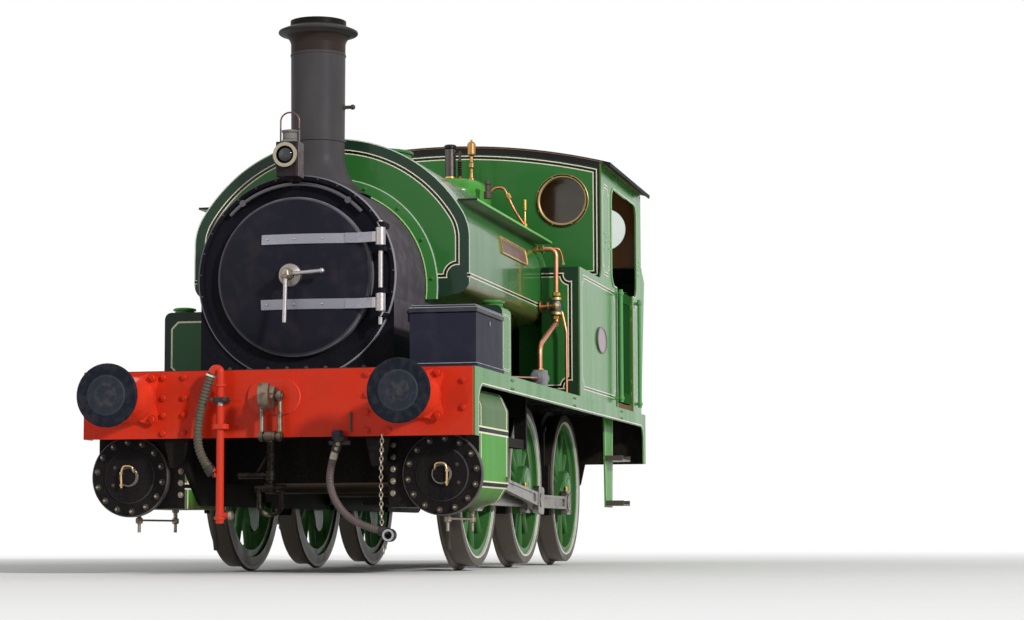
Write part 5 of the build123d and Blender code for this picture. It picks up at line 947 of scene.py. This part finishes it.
for side, way in SIDES:
    paint_node(enamel("cab_green_" + side, LEAF, side_marks, gloss=0.14, coat=0.15, dust=0.3),
               "cab_side_" + side)
paint_node(enamel("cab_front_green", MID_GREEN, front_marks, gloss=0.16, coat=0.15), "cab_front_sheet",
           "cab_rear_sheet")
paint_node(enamel("roof_grey", tone(50, 50, 52), roof_marks, gloss=0.5, coat=0.0, dust=0.15, shine=0.05),
           "cab_roof")
side_rivets = [(4272, 2.475), (4360, 2.459), (4478, 2.439), (4328, 2.413), (4267, 2.351), (4475, 2.375),
               (5825, 2.423), (5844, 2.385), (5787, 2.356), (5785, 2.310), (5905, 2.369)]
side_rivets += [(5512, height) for height in (1.35, 1.40, 1.95, 2.0)]
# The cab-side rivets are pale: a painted reflection of the sky on their heads.
reflecting_rivets = enamel("rivet_painted_reflection", tone(150, 190, 160))
pair("cab_rivets_", [(CAB_SIDE, behind(place), z) for place, z in side_rivets], LEFT, RIVET * 10, reflecting_rivets,
     10, 30)
eaves = [(CAB_SIDE, behind(place), 2.955) for place in range(4180, 5881, 100)]
pair("eaves_rivets_", eaves, LEFT, RIVET * 6, rivet_green, 8, 30)
HATCH_HALF, HATCH_FRONT, HATCH_REAR = 0.37, behind(4690), behind(5370)
hatch_x = np.linspace(-HATCH_HALF, HATCH_HALF, 40)
roof_z = ROOF_CENTRE + np.sqrt((ROOF_RADIUS + 0.014) ** 2 - hatch_x ** 2)
section_x, section_z = np.append(hatch_x, hatch_x[::-1]), np.append(roof_z - 0.002, roof_z[::-1] + 0.012)
hatch = stacked(section_x, np.array([[HATCH_FRONT], [HATCH_REAR]]), section_z)
fit(surface("roof_hatch", hatch, enamel("hatch_grey", tone(70, 70, 72), roof_marks, gloss=0.5, coat=0.05),
            smooth=25))

# Oval plates: blank cast plates on the cab sides, with a raised dark edge and a dull pink-grey face.
OVAL_Y, OVAL_Z = behind(4096), 1.654
OVAL_HALF_Y, OVAL_HALF_Z = 0.2, 0.1


def oval_marks(paint):
    """The edge, by the distance from the oval's middle as a share of its half lengths."""
    out = reach((paint.y - OVAL_Y) * (1 / OVAL_HALF_Y), (paint.z - OVAL_Z) * (1 / OVAL_HALF_Z))
    return ((out > 0.88, tone(64, 52, 50)),)


oval_finish = enamel("oval_plate", tone(140, 122, 126), oval_marks, gloss=0.25, coat=0.3, dust=0.2)
share, height = np.array([(0, 0.006), (0.4, 0.006), (0.84, 0.006), (0.88, 0.008), (0.9, 0.012), (0.96, 0.012),
                          (0.99, 0.009), (1, -0.001), (0, -0.001)]).T[:, :, None]
rim_y, rim_z = circle(72).T
for side, way in SIDES:
    oval = stacked((CAB_SIDE + height) * way, OVAL_Y + share * OVAL_HALF_Y * rim_y,
                   OVAL_Z + share * OVAL_HALF_Z * rim_z)
    fit(surface("oval_plate_" + side, oval, oval_finish, smooth=30))

# Round windows: brass rings screwed over plain glass, at the front and at the rear of the cab.
WINDOW_X, WINDOW_Z = 0.890, 2.708


def ring_marks(metal):
    """Dark paint between the bright edges."""
    out = reach(abs(metal.x) - WINDOW_X, metal.z - WINDOW_Z)
    return (((out > 0.1845) * (out < 0.1965), tone(40, 48, 36)),)


paint_node(bare_metal("window_brass", tone(150, 122, 80), tone(196, 170, 124), 0.24, marks=ring_marks),
           "window_rings")
pane = Finish("window_pane", Transmission_Weight=1.0, IOR=1.45)
pane.dress(Base_Color=pane.mix(pane.cloud(6), tone(206, 218, 210), tone(232, 238, 232)),
           Roughness=pane.spread(pane.cloud(14), 0.3, 0.8, 0.01, 0.07))
paint_node(pane, "window_glass")
screw_turn = np.radians(np.arange(8) * 45 + 22.5)
for end, face, way in (("front", CAB_FRONT, -1), ("rear", CAB_REAR, 1)):
    screws = np.vstack([upright_circle(screw_turn, 0.1915, (x, face + way * 0.013, WINDOW_Z))
                        for x in (-WINDOW_X, WINDOW_X)])
    turned("window_screws_" + end, screws, (0, way, 0), RIVET * 5.5, brass, 8, 30)


# Bunkers: coal and tool bunkers beside the firebox and behind the cab, in flat plate, lined like the cab.
def bunker_marks(paint):
    """The front's panel, inside a dark border."""
    edge = panel(abs(paint.x), paint.z, (0.8, LINE_MIDDLE), (0.314, LINE_HALF))
    return bordered(edge, 0.016, paint.y < behind(3271))


def rear_bunker_marks(paint):
    """The sloping back's panel, and dark coal dust inside."""
    edge = panel(abs(paint.x), paint.z, (0, 1.74), (1.09, 0.45))
    return (*bordered(edge, face=paint.y > behind(5882)), (paint.y < behind(5860), tone(40, 40, 40)))


paint_node(enamel("bunker_green", MID_GREEN, bunker_marks, gloss=0.16, coat=0.15), "side_bunkers")
paint_node(enamel("rear_bunker_green", MID_GREEN, rear_bunker_marks, gloss=0.16, coat=0.15), "rear_bunker")


# Doors and handrails: half doors of framed sheet on pinned hinges, in a darker green that is painted shade of
# the recessed doorway, and green tubular handrails on turned pillars. The cab's floor is planked.
def door_panel_marks(paint):
    """Sunk panel darker still: painted shade in the recess."""
    return ((abs(paint.x) < CAB_SIDE - 0.0155, tone(22, 68, 28)),)


def plank_marks(paint):
    """Grain along the planks, and a dark gap every 180 mm."""
    gap = paint.node("ShaderNodeMath", {"operation": "PINGPONG"}, [paint.x, 0.09]) < 0.003
    return ((paint.patches(3, 5, 0.4, 0.65, 1.0, (9, 0.6, 1)), tone(134, 108, 78)), (gap, tone(40, 30, 22)))


# The doors' darker green is painted shade of the recessed doorway.
for side, way in SIDES:
    paint_node(enamel("half_door_" + side, tone(30, 84, 34), door_panel_marks, gloss=0.5, shine=0.0,
                      coat=0.0), "cab_door_" + side)
pair("door_latch_", (1.1745, behind(4800), 1.98), LEFT, [(16, -1), (16, 3), (8, 5), (8, 9)], brass, 16,
     body="cab_door_SIDE")
paint_node(enamel("rail_green", tone(86, 146, 84), gloss=0.25), "cab_handrails")
paint_node(enamel("floor_planks", tone(98, 76, 52), plank_marks, gloss=0.6, coat=0.0), "cab_floor")

# Sandboxes: cast boxes ahead of the leading wheels, lined round their fronts, with round lids and a pipe that
# drops to the rail behind the cylinders.
SAND_X, SAND_Z = 0.8765, 1.42
SAND_PIPE_X = 0.755


def sandbox_marks(paint):
    """Front: a dark border outside a cream line with cut corners. Side: a cream and dark edge."""
    across, up = abs(abs(paint.x) - SAND_X) - 0.180, abs(paint.z - SAND_Z) - 0.165
    edge = across | up | ((across + up) * 0.7 + 0.030)
    front = paint.y < behind(1131)
    side = abs(paint.x) > 1.1035
    side_edge = panel(paint.y, paint.z, (behind(1255), SAND_Z), (0.095, 0.17), 0.02)
    return ((front, tone(38, 84, 48)), (front * (edge > 0), tone(20, 40, 30)),
            (front * (abs(edge) < 0.0055), CREAM), (side * (abs(side_edge) < 0.006), CREAM),
            (side * (abs(side_edge) < 0.003), INK_BLACK))


paint_node(enamel("sandbox_green", LEAF, sandbox_marks, gloss=0.18, coat=0.15), "sandboxes")
for side, way in SIDES:
    line = [(way * SAND_PIPE_X, behind(place), z)
            for place, z in ((1160, 1.192), (1160, 1.12), (1058, 1.0), (1058, 0.40), (1150, 0.14))]
    pipe("sand_pipe_" + side, line, 0.016, dark_iron, 0.06)


# Toolbox: sheet steel in gloss black with a moulded plinth and lid, whose edges catch the light, and a steel
# lock plate on its outer side.
def toolbox_marks(paint):
    """Pale edges on the mouldings, painted highlights, and a dark seam round the sides."""
    return ((abs(paint.z - 1.218) < 0.0025, tone(150, 152, 158)), (abs(paint.z - 1.512) < 0.004, INK_BLACK),
            (paint.patches(8, 4, 0.5, 0.7, 0.4), tone(58, 58, 68)))


def lid_marks(paint):
    """Painted highlights on the edges of the lid's two steps."""
    return ((abs(paint.z - 1.5425) < 0.002, tone(168, 170, 176)),
            (abs(paint.z - 1.5565) < 0.002, tone(150, 152, 158)),
            (paint.patches(5, 4, 0.46, 0.7, 0.5), tone(84, 86, 92)))


paint_node(enamel("toolbox_black", tone(40, 41, 54), toolbox_marks, gloss=0.3, coat=0.0, dust=0.1,
                  shine=0.02), "toolbox")
paint_node(enamel("toolbox_lid_black", tone(46, 47, 58), lid_marks, gloss=0.24, coat=0.0, dust=0.15,
                  shine=0.04), "toolbox_lid")
turned("toolbox_lock", (1.1755, behind(475), 1.47), LEFT, [(16, -1), (16, 3.5), (10, 4.5)], worn_steel, 20)

# Cylinders: cast iron in green sheet cladding with lined bands. The front cover is black with painted
# highlights on its rings, steel studs and bronze cocks, and drain cocks hang below.
AXLE_Z = 0.578
CYLINDER_X, CYLINDER_Y = 0.960, behind(612)


def cylinder_marks(paint):
    """Bands across the flat side at top and bottom, an upright line near both ends, dull ends, and oily brown
    below.
    The front is black with lighter rings, which are painted highlights on its ring edges, and the rear cover
    is dark."""
    out = reach(abs(paint.x) - CYLINDER_X, paint.z - AXLE_Z)
    front = paint.y < behind(221)
    along = abs(paint.y - CYLINDER_Y)
    # Lighter rings on the front cover: painted highlights on the edges of its rings and boss.
    rings = [(front * (abs(out - radius) < half), shade) for radius, half, shade in
             ((0.237, 0.004, tone(84, 82, 80)), (0.155, 0.003, tone(60, 60, 64)),
              (0.055, 0.005, tone(110, 104, 100)))]
    return ((paint.z > 0.862, tone(84, 112, 72)),
            (paint.spread(paint.z, 0.38, 0.53, 0.95, 0.0), tone(66, 58, 26)),
            (along > 0.345, tone(96, 116, 76)), (abs(along - 0.339) < 0.008, CREAM),
            *lining(paint.z - 0.838, 0.022), *lining(paint.z - 0.522, 0.020), (front, tone(19, 18, 21)),
            *rings, (paint.y > behind(1001), tone(32, 30, 29)))


def cover_circle(count, radius, place, start=0.0):
    """Places on a circle round each cylinder's middle line."""
    turn = np.arange(count) * 2 * math.pi / count + start
    return mirrored(upright_circle(turn, radius, (CYLINDER_X, behind(place), AXLE_Z)))


paint_node(enamel("cylinder_green", tone(78, 152, 58), cylinder_marks, gloss=0.3, coat=0.0, dust=0.12,
                  shine=0.04), "cylinders")
bolts("cylinder_cover_nuts", cover_circle(14, 0.207, 180, 0.15), AHEAD, 15, dark_iron)
turned("cylinder_cover_studs", cover_circle(14, 0.207, 164, 0.15), AHEAD, [(7.5, 0), (7.5, 9), (5, 11)],
       worn_steel, 10, 30)
boss_nuts = [(CYLINDER_X + x, behind(168), AXLE_Z + z) for x, z in ((0.09, 0.055), (0.1, -0.05))]
bolts("cover_boss_nuts", mirrored(boss_nuts), AHEAD, 9, dark_iron)
flange_nuts = [(0.654, behind(220), height) for height in (0.75, 0.68, 0.61, 0.54, 0.47)]
bolts("cylinder_flange_nuts", mirrored(flange_nuts), AHEAD, 14, worn_steel)
bronze = bare_metal("cock_bronze", tone(184, 146, 104), tone(220, 188, 148), 0.25)
bolts("rear_cover_nuts", cover_circle(10, 0.165, 1036), (0, 1, 0), 11.5, dark_iron)
cock = np.array([(0.922, behind(164), 0.600), (0.924, behind(140), 0.612), (0.930, behind(138), 0.642),
                 (0.985, behind(138), 0.644), (0.998, behind(138), 0.605), (0.996, behind(140), 0.512)])
drains = np.array([(0.955, behind(330), 0.389), (0.955, behind(950), 0.389)])
for side, way in SIDES:
    pipe("relief_cock_" + side, cock * (way, 1, 1), 0.0065, bronze, 0.02)
    pipe("drain_cock_rod_" + side, (drains - (0, 0, 0.067)) * (way, 1, 1), 0.006, worn_steel)
pair("relief_cock_nuts_", (0.922, behind(168), 0.600), AHEAD, [(16, -2), (16, 12), (10, 16)], bronze, 6, 20)
pair("relief_cock_unions_", [(0.998, behind(138), 0.592), (0.996, behind(140), 0.522)], UP,
     [(12, 0), (12, 14)], bronze, 6, 20)
pair("drain_cocks_", drains, (0, 0, -1),
     [(22, -4), (22, 14), (13, 20), (13, 50), (22, 56), (22, 82), (10, 90), (10, 140)], worn_steel, 12)
pair("water_relief_valve_", (1.168, behind(940), 0.56), LEFT,
     [(18, -10), (18, 8), (12, 10), (12, 20), (0, 21)], worn_steel, 8, 20)

# Motion: forged and machined rods, polished bright and kept wet with oil. The oil cups are part of the
# forgings, with brass caps.
AXLES = {"leading": 1660, "driving": 3110, "trailing": 4560}
CRANK_THROW = 0.254
ROD_X = 0.866


def cup_marks(pin_height):
    """Brass on the oil cups above the ends of a coupling rod."""
    return lambda metal: ((metal.z > pin_height + 0.0865, tone(206, 168, 92)),)


paint_node(bare_metal("connecting_rod_steel", tone(126, 122, 118), tone(170, 166, 162), 0.24, stains=0.5),
           "connecting_rod_left", "connecting_rod_right", "crosshead_left", "crosshead_right")
for (side, way), crank_angle in zip(SIDES, (27, 117)):
    crank = math.radians(crank_angle)
    pin_height = AXLE_Z - CRANK_THROW * math.sin(crank)
    rod = "coupling_rod_" + side
    paint_node(bare_metal("coupling_rod_steel_" + side, tone(122, 118, 112), tone(166, 162, 156), 0.26,
                          marks=cup_marks(pin_height), stains=0.5), rod)
    pins = np.array([(way * ROD_X, behind(axle) - CRANK_THROW * math.cos(crank), pin_height)
                     for axle in AXLES.values()])
    turned("oil_cup_caps_" + side, pins + (0, 0, 0.110), UP, [(17, -1), (17, 5), (8, 8), (8, 14), (0, 15)],
           brass, 12, body=rod)
    ends = np.concatenate([pins + (way * 0.0205, dy, dz) for dy in (-0.066, 0.066) for dz in (-0.066, 0.066)])
    bolts("rod_end_bolts_" + side, ends, (way, 0, 0), 8.5, worn_steel, rod)


# Wheels: cast steel centres with tapered spokes, painted green, and shrunk-on steel tyres with a white line
# round their inner edge. The treads and crank pins are bright from use.
def wheel_finish(name, axle):
    """Finish of one wheelset, by distance from its axle's centre."""
    def marks(paint):
        """Brown tyre, the white line inside it, and a paler hub."""
        out = reach(paint.y - behind(axle), paint.z - AXLE_Z)
        face = abs(paint.x) > 0.79
        return ((out > 0.4865, tone(58, 47, 42)), (face * (abs(out - 0.4925) < 0.006), tone(214, 216, 200)),
                (out < 0.075, tone(70, 92, 62)))

    def bare(paint):
        """The tread, the crank pins' ends and the axle."""
        out = reach(paint.y - behind(axle), paint.z - AXLE_Z)
        return ((out > 0.5485, tone(104, 96, 90)), (abs(paint.x) > 0.8385, tone(150, 146, 142)),
                ((abs(paint.x) < 0.6) * (out < 0.09), tone(96, 84, 72)))

    return enamel(name, tone(48, 104, 48), marks, gloss=0.25, coat=0.12, dust=0.4, bare=bare)


for name, axle in AXLES.items():
    paint_node(wheel_finish(name + "_wheel_green", axle), name + "_wheelset")
    pair(name + "_axle_cap_", (0.8365, behind(axle), AXLE_Z), LEFT,
         [(74, -2), (74, 2), (66, 5), (20, 5), (14, 1.5)], rivet_green, 32, 25, body=name + "_wheelset")


# Cab steps: bent steel plates below the doorway, green with a thin cream line, and worn treads.
def step_marks(paint):
    """Line inside the hanger's edges, and worn treads."""
    edge = abs(paint.y - behind(5125)) - (paint.z * 0.0665 + 0.089)
    return ((abs(edge) < 0.004, CREAM), (abs(paint.x) > 1.0525, tone(84, 78, 68)))


paint_node(enamel("step_green", tone(76, 146, 62), step_marks, dust=0.15, coat=0.0, shine=0.04), "cab_steps")

# Injector steam valve and lubricator: grey gunmetal bodies with brass hexagon nuts and annealed copper pipes
# that run to the tank and to the mechanical lubricator on the running plate.
VALVE = np.array([1.030, behind(3200), 1.828])
COLLAR = tone(206, 176, 112)


def injector_marks(metal):
    """Grey cast body round the valve's middle, brass collars above and below it, and copper elsewhere."""
    near = reach(metal.x - VALVE[0], metal.y - VALVE[1]) < 0.047
    rise = abs(metal.z - VALVE[2])
    spindle = (metal.y < behind(3165)) * (metal.y > behind(3070)) * (rise < 0.05)
    return ((near * (rise < 0.088), tone(122, 124, 128)), (near * (abs(rise - 0.052) < 0.0095), COLLAR),
            (spindle, COLLAR))


paint_node(bare_metal("injector_copper", tone(190, 124, 98), tone(226, 158, 122), 0.28, marks=injector_marks),
           "injector")
turned("injector_nuts", [VALVE + (0, 0, 0.074), VALVE - (0, 0, 0.092)], UP, [(29, 0), (29, 20), (22, 26)],
       brass, 6, 20)
turned("injector_feed_nuts", [(x, VALVE[1], 2.233) for x in (0.93, 0.885)], LEFT, [(28, -12), (28, 12)],
       brass, 6, 20)
pipe("injector_steam_pipe", [(1.018, VALVE[1], 2.238), (1.052, behind(3208), 2.235),
                             (1.066, behind(3230), 2.19), (1.072, behind(3240), 2.135)], 0.0065, copper, 0.02)
turned("injector_steam_nut", (1.072, behind(3240), 2.122), (0.06, 0.09, 1), [(13, 0), (13, 18)], worn_steel,
       6, 20)
pipe("oil_pipe_left", [(1.06, behind(2440), 1.300), (1.075, behind(2360), 1.27), (1.075, behind(1500), 1.222),
                       (1.06, behind(1450), 1.192)], 0.006, copper, 0.04)
paint_node(enamel("lubricator_grey", tone(120, 120, 124), gloss=0.35, coat=0.1), "lubricator")
turned("lubricator_cap", (1.06, behind(2480), 1.3275), UP, [(26, -2), (26, 12), (14, 16), (14, 30), (0, 31)],
       brass, 8, 20)
